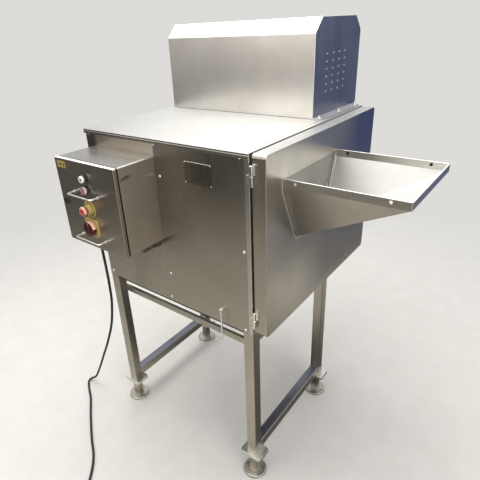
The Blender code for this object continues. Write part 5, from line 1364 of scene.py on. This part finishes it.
# mode selector
bezel("selector_ring", "selector_bezel", SELECTOR_Z, (0.0050, 0.0064, 0.0070), 0.0083, 48)
selector = lathe("selector_head", (CONTROL_X, FACE_Y - 0.0120, SELECTOR_Z), BACKWARD,
                 [(0, 0.0105), (0.0006, 0.0116), (0.0018, 0.0124), (0.0042, 0.0125),
                  (0.0045, 0.0122), (0.0045, 0.008), (0.03, 0.008)], "white_plastic", 56)
fuse(selector, box("grip", (CONTROL_X - 0.003, FACE_Y - 0.0210, SELECTOR_Z - 0.0110),
                   (CONTROL_X + 0.003, FACE_Y - 0.0110, SELECTOR_Z + 0.0110),
                   bevel=0.0014, segments=4))
line = box("grip_line", (CONTROL_X - 0.0006, FACE_Y - 0.0212, SELECTOR_Z + 0.0020),
           (CONTROL_X + 0.0006, FACE_Y - 0.0206, SELECTOR_Z + 0.0100),
           "aged_white_plastic", 0.0002, 1)
paint(selector, FORWARD, ANY_WAY, "aged_white_plastic")
paint(selector, FORWARD, ANY_WAY, "selector_grip_plastic", lambda c: c.y < FACE_Y - 0.0125)
piece(join("selector_knob", [soften(selector, 0.0004), line]), "white_plastic",
      "mode_selector", body="mode_selector")


def estop_dial(r, degrees, y):
    """Point on a circle round the emergency stop."""
    t = math.radians(degrees)
    return (CONTROL_X + r * math.cos(t), y, ESTOP_Z + r * math.sin(t))


# emergency stop: yellow plate with dark arcs and marks, red mushroom head
plate = lathe("estop_ring", (CONTROL_X, FACE_Y, ESTOP_Z), FORWARD,
              [(0, 0.0296), (0.0004, 0.03), (0.0018, 0.03), (0.0025, 0.0293)],
              "yellow_plastic", 72)
fuse(plate, lathe("collar", (CONTROL_X, FACE_Y - 0.001, ESTOP_Z), FORWARD,
                  [(0, 0.0165), (0.0122, 0.0165), (0.0136, 0.0158), (0.014, 0.0148)], n=56))
cut(plate, bore(CONTROL_X, ESTOP_Z, 0.0083, 48))
legend_y = FACE_Y - 0.0026
marks = [sweep("arc", [estop_dial(0.0265, start + a, legend_y) for a in range(0, 91, 5)],
               0.0006, "label_dark", 6) for start in (25, 145, 265)]
marks += [sweep("dial_mark", [estop_dial(r, 15 * k + 7, legend_y) for r in (0.0205, 0.0245)],
                0.0009, "label_dark", 6) for k in range(24)]
piece(join("estop_legend", [soften(plate, 0.0004), *marks]), "yellow_plastic", "estop_plate",
      body="box_door")
estop = lathe("estop_head", (CONTROL_X, FACE_Y - 0.0340, ESTOP_Z), BACKWARD,
              [(0.0003, 0), (0, 0.005), (0.0003, 0.01), (0.0012, 0.0136), (0.0028, 0.0157),
               (0.0048, 0.0166), (0.0082, 0.0166), (0.0094, 0.0156), (0.0102, 0.0136),
               (0.0111, 0.0105), (0.0118, 0.0096), (0.0118, 0.008), (0.0515, 0.008)],
              "red_plastic", 72)
ticks = [sweep("tick", [estop_dial(0.0085, a + d, FACE_Y - 0.0341) for d in range(-28, 29, 4)],
               0.0004, "rim_red_plastic", 6) for a in (90, 210, 330)]
# painted highlight on the upper and right rim
paint(estop, UP, 0.30, "rim_red_plastic",
      lambda c: FACE_Y - 0.0240 > c.y > FACE_Y - 0.0322 and c.x > CONTROL_X - 0.010)
paint(estop, RIGHT, 0.55, "rim_red_plastic",
      lambda c: FACE_Y - 0.0240 > c.y > FACE_Y - 0.0322 and c.z > ESTOP_Z - 0.004)
piece(join("estop_mushroom", [estop, *ticks]), "red_plastic", "estop_button", body="estop")

# main switch: square yellow plate with corner screws, dark red knob
corners = [(CONTROL_X + a, SWITCH_Z + b) for a in (-0.025, 0.025) for b in (-0.025, 0.025)]
plate = prism("switch_plate_yellow", rounded(CONTROL_X - 0.031, SWITCH_Z - 0.031,
                                             CONTROL_X + 0.031, SWITCH_Z + 0.031, 0.008, 8),
              "Y", FACE_Y - 0.0075, FACE_Y, "yellow_plastic")
cut(plate, bore(CONTROL_X, SWITCH_Z, 0.0058, 40),
    *[lathe("screw", (x, FACE_Y - 0.02, z), BACKWARD, [(0, 0.0024), (0.015, 0.0024)], n=20)
      for x, z in corners])
screws = [lathe("screw", (x, FACE_Y - 0.0060, z), BACKWARD,
                [(0, 0.0016), (0.0003, 0.002), (0.0012, 0.002)], "polished_steel", 20)
          for x, z in corners]
piece(join("switch_legend", [soften(plate, 0.0008, 3), *screws]), "yellow_plastic",
      "main_switch_plate", body="box_door")
knob = lathe("switch_knob", (CONTROL_X, FACE_Y - 0.0215, SWITCH_Z), BACKWARD,
             [(0, 0.024), (0.0005, 0.0252), (0.0016, 0.0264), (0.0038, 0.027),
              (0.0105, 0.0268), (0.0124, 0.0262), (0.0131, 0.0254), (0.0133, 0.0244),
              (0.0133, 0.0055), (0.0415, 0.0055)], "dark_red_plastic", 84)
for x0, x1 in ((-0.0180, -0.0065), (0.0065, 0.0180)):
    cut(knob, box("recess", (CONTROL_X + x0, FACE_Y - 0.045, SWITCH_Z - 0.0160),
                  (CONTROL_X + x1, FACE_Y - 0.0185, SWITCH_Z + 0.0160),
                  bevel=0.004, segments=4, edges="Y"))
# painted highlight on the rim's upper right
paint(knob, UP, 0.10, "rim_red_plastic", lambda c: c.x > CONTROL_X - 0.004
      and Vector((c.x - CONTROL_X, c.z - SWITCH_Z)).length > 0.0255)
pointer = box("pointer", (CONTROL_X - 0.0008, FACE_Y - 0.0217, SWITCH_Z + 0.0130),
              (CONTROL_X + 0.0008, FACE_Y - 0.0211, SWITCH_Z + 0.0225),
              "rim_red_plastic", 0.0002, 1)
piece(join("switch_rotary", [soften(knob, 0.0007, 3), pointer]), "red_plastic",
      "main_switch_knob", body="main_switch")

# lock with a three-cornered key hole and a cam behind the door
lock = lathe("lock_head", (LOCK_X, FACE_Y - 0.0045, LOCK_Z), BACKWARD,
             [(0, 0.0115), (0.0004, 0.0123), (0.0012, 0.0128), (0.0045, 0.0128),
              (0.0045, 0.008), (0.0205, 0.008)], "black_plastic", 48)
cut(lock, prism("key", [(LOCK_X - 0.0045, LOCK_Z - 0.0035), (LOCK_X + 0.0045, LOCK_Z - 0.0035),
                        (LOCK_X, LOCK_Z + 0.0050)], "Y", -0.3, FACE_Y - 0.001))
fuse(lock, box("cam", (LOCK_X - 0.0075, FACE_Y + 0.0158, LOCK_Z - 0.005),
               (LOCK_X + 0.0260, FACE_Y + 0.0186, LOCK_Z + 0.005), bevel=0.0008, segments=2))
piece(soften(lock, 0.0003), "black_plastic", "box_lock", body="box_lock")

# bent guard bars between the controls
GUARD_X0, GUARD_X1, GUARD_Y = -0.589, -0.466, FACE_Y - 0.0285
for level, z in (("upper", -0.1625), ("lower", -0.3180)):
    path = [(GUARD_X0, FACE_Y, z), (GUARD_X0, GUARD_Y, z), (GUARD_X1, GUARD_Y, z),
            (GUARD_X1, FACE_Y, z)]
    rod = sweep(f"{level}_guard_rod", bend_path(path, 0.0075, 8), 0.0028, "bright_rod", 24)
    bosses = [lathe("boss", (x, FACE_Y, z), FORWARD,
                    [(0, 0.005), (0.0008, 0.005), (0.0018, 0.004), (0.0026, 0.0029)],
                    "bright_rod", 28) for x in (GUARD_X0, GUARD_X1)]
    piece(join(f"{level}_guard", [rod, *bosses]), "bright_steel", f"{level}_guard_bar",
          body="box_door")

# cable glands under the box, each with a hex nut and a ribbed cap
for name, x, y, material in (("power_gland", POWER_X, POWER_Y, "black_plastic"),
                             ("motor_gland", MOTOR_X, MOTOR_Y, "tarnished_metal")):
    gland = lathe(name + "_body", (x, y, BOX_Z0 + 0.006), DOWN,
                  [(0, 0.008), (0.0063, 0.008), (0.0063, 0.0135), (0.0075, 0.0135),
                   (0.008, 0.0118), (0.014, 0.0118), (0.0145, 0.0122), (0.025, 0.012),
                   (0.0275, 0.0108), (0.029, 0.0092), (0.03, 0.008)], material, 48)
    cut(gland, cylinder("bore", (x, y, BOX_Z0 + 0.02), (x, y, BOX_Z0 - 0.05), 0.0052, n=32))
    nut = hexagon((x, y, BOX_Z0 - 0.0018), DOWN, 0.0228, 0.0058, material)
    ribs = []
    for k in range(14):
        t = 2 * math.pi * k / 14
        rib_x, rib_y = x + 0.0117 * math.cos(t), y + 0.0117 * math.sin(t)
        ribs.append(box("rib", (rib_x - 0.0007, rib_y - 0.0007, BOX_Z0 - 0.0185),
                        (rib_x + 0.0007, rib_y + 0.0007, BOX_Z0 - 0.0092), material, 0.0003, 1))
    piece(join(name + "_nut", [gland, nut, *ribs]), "black_plastic", name)

# corrugated conduit from the motor gland into the front sheet
TURN_Z = BOX_Z0 - 0.0225
path = bend_path([(MOTOR_X, MOTOR_Y, BOX_Z0 - 0.0120), (MOTOR_X, MOTOR_Y, TURN_Z),
                  (MOTOR_X, -0.0010, TURN_Z)], 0.009, 10)
dense = []
for a, b in zip(path, path[1:]):
    steps = max(1, round((b - a).length / 0.00075))
    dense += [a.lerp(b, k / steps) for k in range(steps)]
dense.append(path[-1])
radii = [0.0088 + 0.0011 * math.sin(k * 1.55) for k in range(len(dense))]
hose = sweep("conduit_hose", dense, radii, "tarnished_metal", 22)
collar = lathe("conduit_collar", (MOTOR_X, -0.0150, TURN_Z), BACKWARD,
               [(0, 0.0098), (0.001, 0.0112), (0.006, 0.0112), (0.007, 0.0128),
                (0.014, 0.0128), (0.0148, 0.012)], "tarnished_metal", 32)
piece(join("conduit", [hose, collar]), "black_plastic")

# mains cable: down from its gland, then along the floor to the plug
CABLE_PATH = [  # x, y, z
    (POWER_X, POWER_Y, BOX_Z0 - 0.004), (POWER_X, POWER_Y, -0.430), (-0.606, -0.092, -0.500),
    (-0.614, -0.087, -0.580), (-0.628, -0.082, -0.670), (-0.662, -0.080, -0.790),
    (-0.714, -0.080, -0.905), (-0.772, -0.078, -1.010), (-0.838, -0.074, -1.125),
    (-0.905, -0.066, -1.225), (-0.955, -0.062, -1.2700), (-0.962, -0.080, -1.2800),
    (-0.918, -0.112, -1.2803), (-0.862, -0.144, -1.2803), (-0.798, -0.192, -1.2803),
    (-0.728, -0.242, -1.2803), (-0.660, -0.288, -1.2803), (-0.600, -0.325, -1.2803),
    (-0.556, -0.362, -1.2803), (-0.512, -0.412, -1.2803), (-0.474, -0.475, -1.2803)]
piece(sweep("cable_round", smooth_path(CABLE_PATH, 7), 0.0050, "cable_sheath", 18),
      "cable_sheath", "power_cable")
along = (Vector(CABLE_PATH[-1]) - Vector(CABLE_PATH[-2])).normalized()
base = Vector((*CABLE_PATH[-1][:2], -1.2630)) + along * 0.004
plug = lathe("plug_shell", base, along,
             [(0, 0.008), (0.002, 0.0092), (0.012, 0.0125), (0.04, 0.0162), (0.0445, 0.0165),
              (0.0455, 0.0208), (0.047, 0.0215), (0.056, 0.0215), (0.057, 0.0205),
              (0.06, 0.0205), (0.061, 0.0212), (0.096, 0.0212), (0.0985, 0.0206),
              (0.1, 0.0195)], "red_plastic", 56)
cut(plug, cylinder("socket", base + along * 0.060, base + along * 0.12, 0.0185, n=48))
side = along.cross(Vector(UP))
pins = []
for degrees in (90, 162, 234, 306, 18):
    t = math.radians(degrees)
    offset = side * (0.0110 * math.cos(t)) + Vector(UP) * (0.0110 * math.sin(t))
    pins.append(lathe("pin", base + along * 0.058 + offset, along,
                      [(0, 0.0024), (0.034, 0.0024), (0.0365, 0.0016)], "polished_steel", 20))
clamp = lathe("plug_clamp", base + along * 0.006, along,
              [(0, 0.0118), (0.0014, 0.0124), (0.01, 0.014), (0.0115, 0.0134)],
              "black_plastic", 40)
piece(join("plug_body", [plug, *pins, clamp]), "red_plastic", "mains_plug")

# ================================================================= front fittings
# data plate: blank, fine border, painted highlight along its upper edge, rivets
blank = prism("plate_blank", rounded(-0.240, -0.1215, -0.1325, -0.0530, 0.0025, 5),
              "Y", -0.0013, -0.0003, "etched_plate")
lines = [box("border", (x0, -0.00142, z0), (x1, -0.0012, z1), "plate_line")
         for x0, z0, x1, z1 in ((-0.2330, -0.1150, -0.1395, -0.1146),
                                (-0.2330, -0.0604, -0.1395, -0.0600),
                                (-0.2334, -0.1150, -0.2330, -0.0600),
                                (-0.1395, -0.1150, -0.1391, -0.0600))]
lines.append(sweep("upper_edge_highlight", [(-0.2385, -0.0012, -0.0536), (-0.1340, -0.0012, -0.0536)],
                   0.0006, "bright_rod", 8))
rivets = [lathe("rivet", (x, -0.0012, z), FORWARD,
                [(0, 0.0024), (0.0006, 0.0023), (0.0012, 0.0016), (0.0015, 0.0)],
                "polished_steel", 20)
          for x in (-0.2365, -0.1360) for z in (-0.1180, -0.0565)]
piece(join("plate_with_rivets", [soften(blank, 0.0002, 1), *lines, *rivets]),
      "etched_plate", "data_plate")

# drain lever: bent rod on a hub
path = [(LEVER_X, -0.0165, -0.536), (LEVER_X, -0.0165, -0.560), (-0.117, -0.0160, -0.640),
        (-0.1185, -0.0160, -0.6665), (-0.1420, -0.0160, -0.6680)]
rod = sweep("lever_rod", bend_path(path, 0.009, 8), 0.0025, "bright_rod", 24)
hub = lathe("lever_hub", (LEVER_X, -0.0215, LEVER_Z), BACKWARD,
            [(0, 0.0), (0.0003, 0.003), (0.0012, 0.0052), (0.0026, 0.0063), (0.004, 0.0065),
             (0.0092, 0.0065), (0.01, 0.0058), (0.01, 0.005), (0.0565, 0.005)],
            "polished_steel", 40)
piece(join("lever_hook", [rod, hub]), "bright_steel", "drain_lever", body="drain_lever")
piece(refine("drain_valve", "cast_alloy", 0.0010), "motor_grey", "drain_valve")

# ================================================================= conveyor
BELT_Z, ROLLER_R, BELT_T = -0.362, 0.022, 0.003
IDLER_X, DRIVEN_X, BELT_Y0, BELT_Y1 = -0.036, -0.662, 0.146, 0.380
SHAFT_Y0 = 0.1345


def belt_outline(r, n=24):
    points = []
    for x, start in ((IDLER_X, 90), (DRIVEN_X, 270)):
        for k in range(n + 1):
            t = math.radians(start - 180 * k / n)
            points.append((x + r * math.cos(t), BELT_Z + r * math.sin(t)))
    return points


belt = prism("belt_loop", belt_outline(ROLLER_R + 0.0003 + BELT_T), "Y", BELT_Y0, BELT_Y1,
             "conveyor_belt_weave")
cut(belt, prism("inside", belt_outline(ROLLER_R + 0.0003), "Y", BELT_Y0 - 0.01, BELT_Y1 + 0.01))
piece(soften(belt, 0.0006), "belt", "conveyor_belt")
for name, x, shaft_y1, node in (("idler", IDLER_X, 0.3915, "idler_roller"),
                                ("driven", DRIVEN_X, 0.4800, "drive_roller")):
    a, b = BELT_Y0 + 0.002 - SHAFT_Y0, BELT_Y1 - 0.002 - SHAFT_Y0
    end = shaft_y1 - SHAFT_Y0
    profile = [(0, 0.007), (0.001, 0.008), (a, 0.008), (a, ROLLER_R - 0.0015),
               (a + 0.0015, ROLLER_R), (b - 0.0015, ROLLER_R), (b, ROLLER_R - 0.0015),
               (b, 0.008), (end - 0.001, 0.008), (end, 0.007)]
    drum = lathe(name + "_drum", (x, SHAFT_Y0, BELT_Z), BACKWARD, profile, "machined_steel", 56)
    piece(drum, "machined_steel", node, body=node)
piece(refine("conveyor_frame", "inner_sheet", 0.0005), "brushed_sheet", "conveyor_frame")


def motor_body(start, r, length, first, neck=0.0, pitch=0.009):
    """Motor along +X: optional neck, plain flange, turned cooling ribs, rounded fan cover."""
    profile = [(0.0, neck), (first, neck), (first, r - 0.004)] if neck else [(0.0, r - 0.004)]
    x = first + 0.001
    profile += [(x, r), (x + 0.006, r)]
    x += 0.006
    while x + pitch < length * 0.70:
        profile += [(x + 0.0003, r - 0.0042), (x + pitch * 0.55, r - 0.0042),
                    (x + pitch * 0.58, r), (x + pitch, r)]
        x += pitch
    profile += [(x + 0.0004, r - 0.0020), (x + 0.003, r - 0.0020), (x + 0.0034, r),
                (length - 0.010, r), (length - 0.004, r - 0.002), (length - 0.001, r - 0.005),
                (length, r - 0.008)]
    return lathe("motor", start, RIGHT, profile, "motor_paint", 56)


gearbox = box("conveyor_drive", (DRIVEN_X - 0.034, 0.4555, BELT_Z - 0.040),
              (DRIVEN_X + 0.034, 0.535, BELT_Z + 0.040), "motor_paint", 0.0062, 4)
cut(gearbox, cylinder("bore", (DRIVEN_X, 0.44, BELT_Z), (DRIVEN_X, 0.4810, BELT_Z), 0.0083, n=36))
motor = motor_body((DRIVEN_X + 0.030, 0.500, BELT_Z), 0.034, 0.142, first=0.012, neck=0.030)
bolts = [hexagon((DRIVEN_X + a, 0.5348, BELT_Z + b), BACKWARD, 0.0070, 0.0031)
         for a in (-0.025, 0.025) for b in (-0.031, 0.031)]
piece(join("conveyor_drive_unit", [soften(gearbox, 0.0005), motor, *bolts]), "motor_grey",
      "conveyor_gearmotor")

# ================================================================= needle head and lift
HEAD_X, HEAD_Y = LEFT_X / 2, 0.263
HEAD_TOP, HEAD_LOW = -0.040, -0.075
NEEDLES = [(HEAD_X + 0.045 * (i - 1), HEAD_Y + 0.0235 * (j - 3.5))  # x, y
           for i in range(3) for j in range(8)]

parts = [box("manifold_block", (HEAD_X - 0.095, HEAD_Y - 0.105, HEAD_LOW),
             (HEAD_X + 0.095, HEAD_Y + 0.105, HEAD_TOP), "machined_steel", 0.0042, 4)]
for x, y in NEEDLES:
    parts.append(lathe("needle", (x, y, HEAD_LOW + 0.001), DOWN,
                       [(0, 0.0034), (0.0046, 0.0034), (0.0052, 0.003), (0.0056, 0.0018),
                        (0.119, 0.0018), (0.124, 0.0014), (0.131, 0.0003)],
                       "polished_steel", 16))
for a in (-0.083, 0.083):
    for b in (-0.093, -0.031, 0.031, 0.093):
        parts += button_screw((HEAD_X + a, HEAD_Y + b, HEAD_TOP), UP, 0.0042, 0.0022)
piece(join("manifold_with_needles", parts), "machined_steel", "needle_manifold",
      body="needle_head")
piece(refine("lift_carriage", "cast_alloy", 0.0012, 3), "carriage_alloy", "lift_carriage",
      body="needle_head")
for side, name in ((-1, "guide_column_left"), (1, "guide_column_right")):
    column = lathe(name + "_rod", (HEAD_X + side * 0.110, 0.565, -0.6007), UP,
                   [(0, 0.0125), (0.8612, 0.0125), (0.8627, 0.011)], "polished_steel", 56)
    piece(column, "bright_steel", name)
piece(refine("column_bridge", "machined_steel", 0.0008), "machined_steel", "column_bridge")
for node, body in (("lift_rack", "needle_head"), ("lift_pinion", "lift_pinion")):
    piece(refine(node, "machined_steel", 0.00025, 1), "machined_steel", node, body=body)

PINION_Y, PINION_Z = 0.6295, 0.040
gearbox = box("lift_drive", (HEAD_X + 0.0300, PINION_Y - 0.036, PINION_Z - 0.036),
              (HEAD_X + 0.105, PINION_Y + 0.060, PINION_Z + 0.060), "motor_paint", 0.0080, 4)
cut(gearbox, cylinder("bore", (HEAD_X + 0.02, PINION_Y, PINION_Z),
                      (HEAD_X + 0.051, PINION_Y, PINION_Z), 0.0093, n=36))
motor = motor_body((HEAD_X + 0.097, PINION_Y + 0.013, PINION_Z + 0.0125), 0.0475, 0.178,
                   first=0.015, neck=0.039)
foot = box("foot", (HEAD_X + 0.2200, PINION_Y - 0.030, 0.0006),
           (HEAD_X + 0.2550, PINION_Y + 0.055, 0.0150), "motor_paint", 0.0015, 2)
bolts = [hexagon((HEAD_X + 0.0303, PINION_Y + 0.050, PINION_Z + 0.012 + b), LEFT, 0.008, 0.001)
         for b in (-0.038, 0.038)]
piece(join("lift_drive_unit", [soften(gearbox, 0.0005), motor, foot, *bolts]), "motor_grey",
      "lift_gearmotor")

# stripper board the needles pass through, hung on two rods
STRIP_TOP, STRIP_LOW = -0.2090, -0.2170
board = box("stripper_board", (HEAD_X - 0.105, HEAD_Y - 0.112, STRIP_LOW),
            (HEAD_X + 0.105, HEAD_Y + 0.112, STRIP_TOP), "guide_plastic", 0.0062, 5, "Z")
fuse(board, *[box("lug", (HEAD_X + a, 0.350, STRIP_LOW + 0.001),
                  (HEAD_X + b, 0.370, STRIP_TOP - 0.001), bevel=0.003, edges="Z")
              for a, b in ((-0.138, -0.099), (0.099, 0.138))])
cut(board, *[cylinder("needle_hole", (x, y, -0.3), (x, y, -0.1), 0.0039, n=16)
             for x, y in NEEDLES])
rod_places = [(HEAD_X + side * 0.128, 0.360) for side in (-1, 1)]
rods = [lathe("rod", (x, y, STRIP_TOP - 0.004), UP,
              [(0, 0.0045), (0.176, 0.0045), (0.177, 0.0037)], "polished_steel", 32)
        for x, y in rod_places]
nuts = [hexagon((x, y, STRIP_TOP - 0.0011), UP, 0.0110, 0.0040) for x, y in rod_places]
piece(join("stripper_assembly", [soften(board, 0.0008), *rods, *nuts]), "guide_plastic",
      "stripper_plate", body="stripper")

# ================================================================= brine feed and pump
FEED_Y, FEED_Z = 0.5050, HEAD_TOP + 0.0095
PUMP_Z = -0.5400
path = [(HEAD_X, FEED_Y, -0.4300), (HEAD_X, FEED_Y, FEED_Z), (HEAD_X, HEAD_Y + 0.091, FEED_Z)]
feed = sweep("feed_bend", bend_path(path, 0.014, 10), 0.0068, "polished_steel", 32)
nut = hexagon((HEAD_X, HEAD_Y + 0.0915, FEED_Z), BACKWARD, 0.0150, 0.009)
piece(join("brine_feed_bend", [feed, nut]), "bright_steel", "brine_feed_inner",
      body="needle_head")

pump = lathe("pump_volute", (HEAD_X + 0.062, FEED_Y, PUMP_Z), RIGHT,
             [(0, 0.034), (0.001, 0.036), (0.0055, 0.04), (0.008, 0.0418), (0.012, 0.042),
              (0.036, 0.042), (0.04, 0.0408), (0.0455, 0.031), (0.048, 0.03), (0.06, 0.03)],
             "machined_steel", 64)
riser = cylinder("riser", (HEAD_X, FEED_Y, -0.5700), (HEAD_X, FEED_Y, -0.2600), 0.0115)
fuse(pump, cylinder("pipe", (HEAD_X, FEED_Y, PUMP_Z), (HEAD_X + 0.07, FEED_Y, PUMP_Z), 0.0095,
                    n=32), riser,
     box("foot", (HEAD_X + 0.075, 0.480, -0.6007), (HEAD_X + 0.095, 0.530, -0.560)))
cut(pump, cylinder("bore", (HEAD_X, FEED_Y, -0.5600), (HEAD_X, FEED_Y, -0.2), 0.0076, n=36))
ring = lathe("ring", (HEAD_X, FEED_Y, -0.273), UP,
             [(0, 0.0118), (0.001, 0.0128), (0.005, 0.0128), (0.006, 0.0118)],
             "polished_steel", 40)
cut(ring, cylinder("bore", (HEAD_X, FEED_Y, -0.3), (HEAD_X, FEED_Y, -0.2), 0.0080, n=32))
piece(join("pump_with_riser", [soften(pump, 0.0006), ring]), "machined_steel", "brine_pump")

motor = motor_body((HEAD_X + 0.1223, FEED_Y, PUMP_Z), 0.047, 0.172, first=0.001)
foot = box("foot", (HEAD_X + 0.145, 0.470, -0.6007), (HEAD_X + 0.255, 0.540, -0.560),
           "motor_paint", 0.002, 3)
terminals = box("terminal_box", (HEAD_X + 0.180, FEED_Y - 0.026, -0.4990),
                (HEAD_X + 0.230, FEED_Y + 0.026, -0.4932), "motor_paint", 0.0015, 3)
piece(join("pump_motor_unit", [motor, foot, terminals]), "motor_grey", "pump_motor")

# ================================================================= floor
FLOOR_REFLECTED_SHADE = [  # painted shadow and light seen only in reflections: distance across the floor, brightness
    (-2.6, 0.26), (-1.5, 0.31), (-1.0, 0.37), (-0.42, 0.60), (-0.12, 0.60), (0.12, 0.11),
    (0.75, 0.11), (1.35, 0.40), (1.75, 0.26), (2.6, 0.17)]


def floor_paint(name):
    """Pale floor that fades out at its edge; glossy rays see painted shadow and light bands instead
    of its colour.
    """
    nodes, shader = new_material(name)
    grain = nodes.noise(9.0, detail=5.0)
    fine = nodes.noise(140.0)
    colour = nodes.mix(nodes.remap(grain, span=(0.3, 0.7)),
                       (0.615, 0.600, 0.570), (0.665, 0.650, 0.620))
    colour = nodes.mix(nodes.remap(fine, span=(0.35, 0.65), to=(0.0, 0.5)),
                       colour, (0.575, 0.560, 0.530))
    place = nodes.position()
    distance = nodes.vector("DOT_PRODUCT", place, (0.50, 0.866, 0.0))
    ramp = nodes.add("ShaderNodeValToRGB")
    elements = ramp.color_ramp.elements
    stops = [((d + 3.0) / 6.0, level) for d, level in FLOOR_REFLECTED_SHADE]
    for stop, level in stops[1:-1]:
        elements.new(stop)
    for element, (stop, level) in zip(elements, stops):
        element.position = stop
        element.color = (level, level * 0.945, level * 0.84, 1.0)
    nodes.link(nodes.remap(distance, span=(-3.0, 3.0)), ramp.inputs["Fac"])
    # glossy rays see the painted shadow bands
    ray = nodes.add("ShaderNodeLightPath")
    colour = nodes.mix(ray.outputs["Is Glossy Ray"], colour, ramp.outputs["Color"])
    nodes.link(colour, shader["Base Color"])
    shader["Roughness"].default_value = 0.72
    shader["Specular IOR Level"].default_value = 0.25
    fade = nodes.remap(nodes.vector("LENGTH", place), span=(1.7, 3.4), to=(1.0, 0.0))
    nodes.link(fade, shader["Alpha"])


floor_paint("floor_paint")
bm = bmesh.new()
bmesh.ops.create_circle(bm, cap_ends=True, radius=3.6, segments=96)
mesh = bpy.data.meshes.new("floor")
bm.to_mesh(mesh)
bm.free()
mesh.materials.append(MATERIALS["floor_paint"])
floor = scene_object("floor", mesh)
lo, hi = CAD_BOX
floor.location = ((lo.x + hi.x) / 2, (lo.y + hi.y) / 2, lo.z - 0.0004)

# ================================================================= world
# The camera sees a plain backdrop; everything else is lit by a shaped sky.
world = bpy.data.worlds.new("studio")
bpy.context.scene.world = world
world.use_nodes = True
world.node_tree.nodes.clear()
nodes = Nodes(world.node_tree)
output = nodes.add("ShaderNodeOutputWorld")
backdrop = nodes.add("ShaderNodeBackground")
backdrop.inputs["Color"].default_value = (0.725, 0.715, 0.695, 1.0)
lit = nodes.add("ShaderNodeBackground")
ray = nodes.add("ShaderNodeLightPath")
pick = nodes.add("ShaderNodeMixShader")
nodes.link(ray.outputs["Is Camera Ray"], pick.inputs[0])
nodes.link(lit.outputs[0], pick.inputs[1])
nodes.link(backdrop.outputs[0], pick.inputs[2])
nodes.link(pick.outputs[0], output.inputs["Surface"])
direction = nodes.add("ShaderNodeTexCoord").outputs["Generated"]


def sector(axis, span):
    """Rises from 0 to 1 over a span of cosines to the axis."""
    return nodes.remap(nodes.vector("DOT_PRODUCT", direction, Vector(axis).normalized()), span)


split = nodes.add("ShaderNodeSeparateXYZ")
nodes.link(direction, split.inputs[0])
height = split.outputs["Z"]
sky = nodes.mix(nodes.remap(height, span=(-0.05, 0.9)), (0.52, 0.53, 0.55), (1.0, 1.0, 1.0))
below = nodes.remap(height, span=(-0.15, 0.02), to=(1.0, 0.0))
sky = nodes.mix(below, sky, (0.46, 0.45, 0.44))
bright = nodes.math("MULTIPLY", sector((0.92, -0.38, 0.0), span=(0.80, 0.97)),
                    nodes.remap(height, span=(-0.30, -0.10)))
sky = nodes.mix(bright, sky, (1.35, 1.32, 1.26))
blue = nodes.math("MULTIPLY", sector((0.38, 0.925, -0.03), span=(0.86, 0.965)),
                  nodes.remap(height, span=(0.16, 0.34), to=(1.0, 0.0)))
sky = nodes.mix(blue, sky, (0.055, 0.090, 0.225))
warm = nodes.math("MULTIPLY", sector((-0.45, -0.89, 0.0), span=(0.30, 0.85)),
                  nodes.remap(height, span=(0.25, 0.75), to=(1.0, 0.0)))
warm_colour = nodes.mix(nodes.remap(height, span=(-0.22, -0.06)),
                        (0.070, 0.063, 0.052), (0.33, 0.315, 0.29))
nodes.link(nodes.mix(warm, sky, warm_colour), lit.inputs["Color"])


# ================================================================= lights and camera
def softbox(name, place, target, size, power, colour):
    data = bpy.data.lights.new(name, "AREA")
    data.energy = power
    data.color = colour
    data.shape = "RECTANGLE"
    data.size = data.size_y = size
    light = scene_object(name, data)
    light.location = grid_point(*place)
    aim = Vector(target) - Vector(place)
    light.rotation_euler = aim.to_track_quat("-Z", "Y").to_euler()


softbox("softbox_top", place=(-0.9, 0.3, 2.1), target=(-0.3, 0.3, 0.0), size=2.6, power=82.0,
        colour=(1.0, 0.99, 0.97))
softbox("softbox_right", place=(2.6, -1.0, 1.3), target=(0.2, 0.3, -0.2), size=1.8, power=34.0,
        colour=(1.0, 0.985, 0.96))
softbox("softbox_front", place=(-1.6, -2.6, 0.9), target=(-0.3, 0.0, -0.4), size=1.6, power=16.0,
        colour=(1.0, 0.97, 0.93))

lens = bpy.data.cameras.new("camera")
lens.sensor_width = 36.0
lens.lens = 32.368
lens.shift_x, lens.shift_y = 0.03594, -0.01928
lens.clip_start, lens.clip_end = 0.05, 50.0
camera = scene_object("camera", lens)
CAMERA_PLACE = (0.64225, -0.91164, 0.30944)
CAMERA_AXES = (  # its right, up and backward directions
    (0.78827239, 0.61331344, -0.04973187),
    (-0.22930773, 0.36779695, 0.90118997),
    (0.57100316, -0.69897927, 0.43056169))
turn = Matrix(CAMERA_AXES).transposed().to_4x4()
camera.matrix_world = Matrix.Translation(grid_point(*CAMERA_PLACE)) @ turn
scene = bpy.context.scene
scene.camera = camera
scene.view_settings.view_transform = "Standard"
scene.view_settings.look = "None"

bpy.context.view_layer.update()
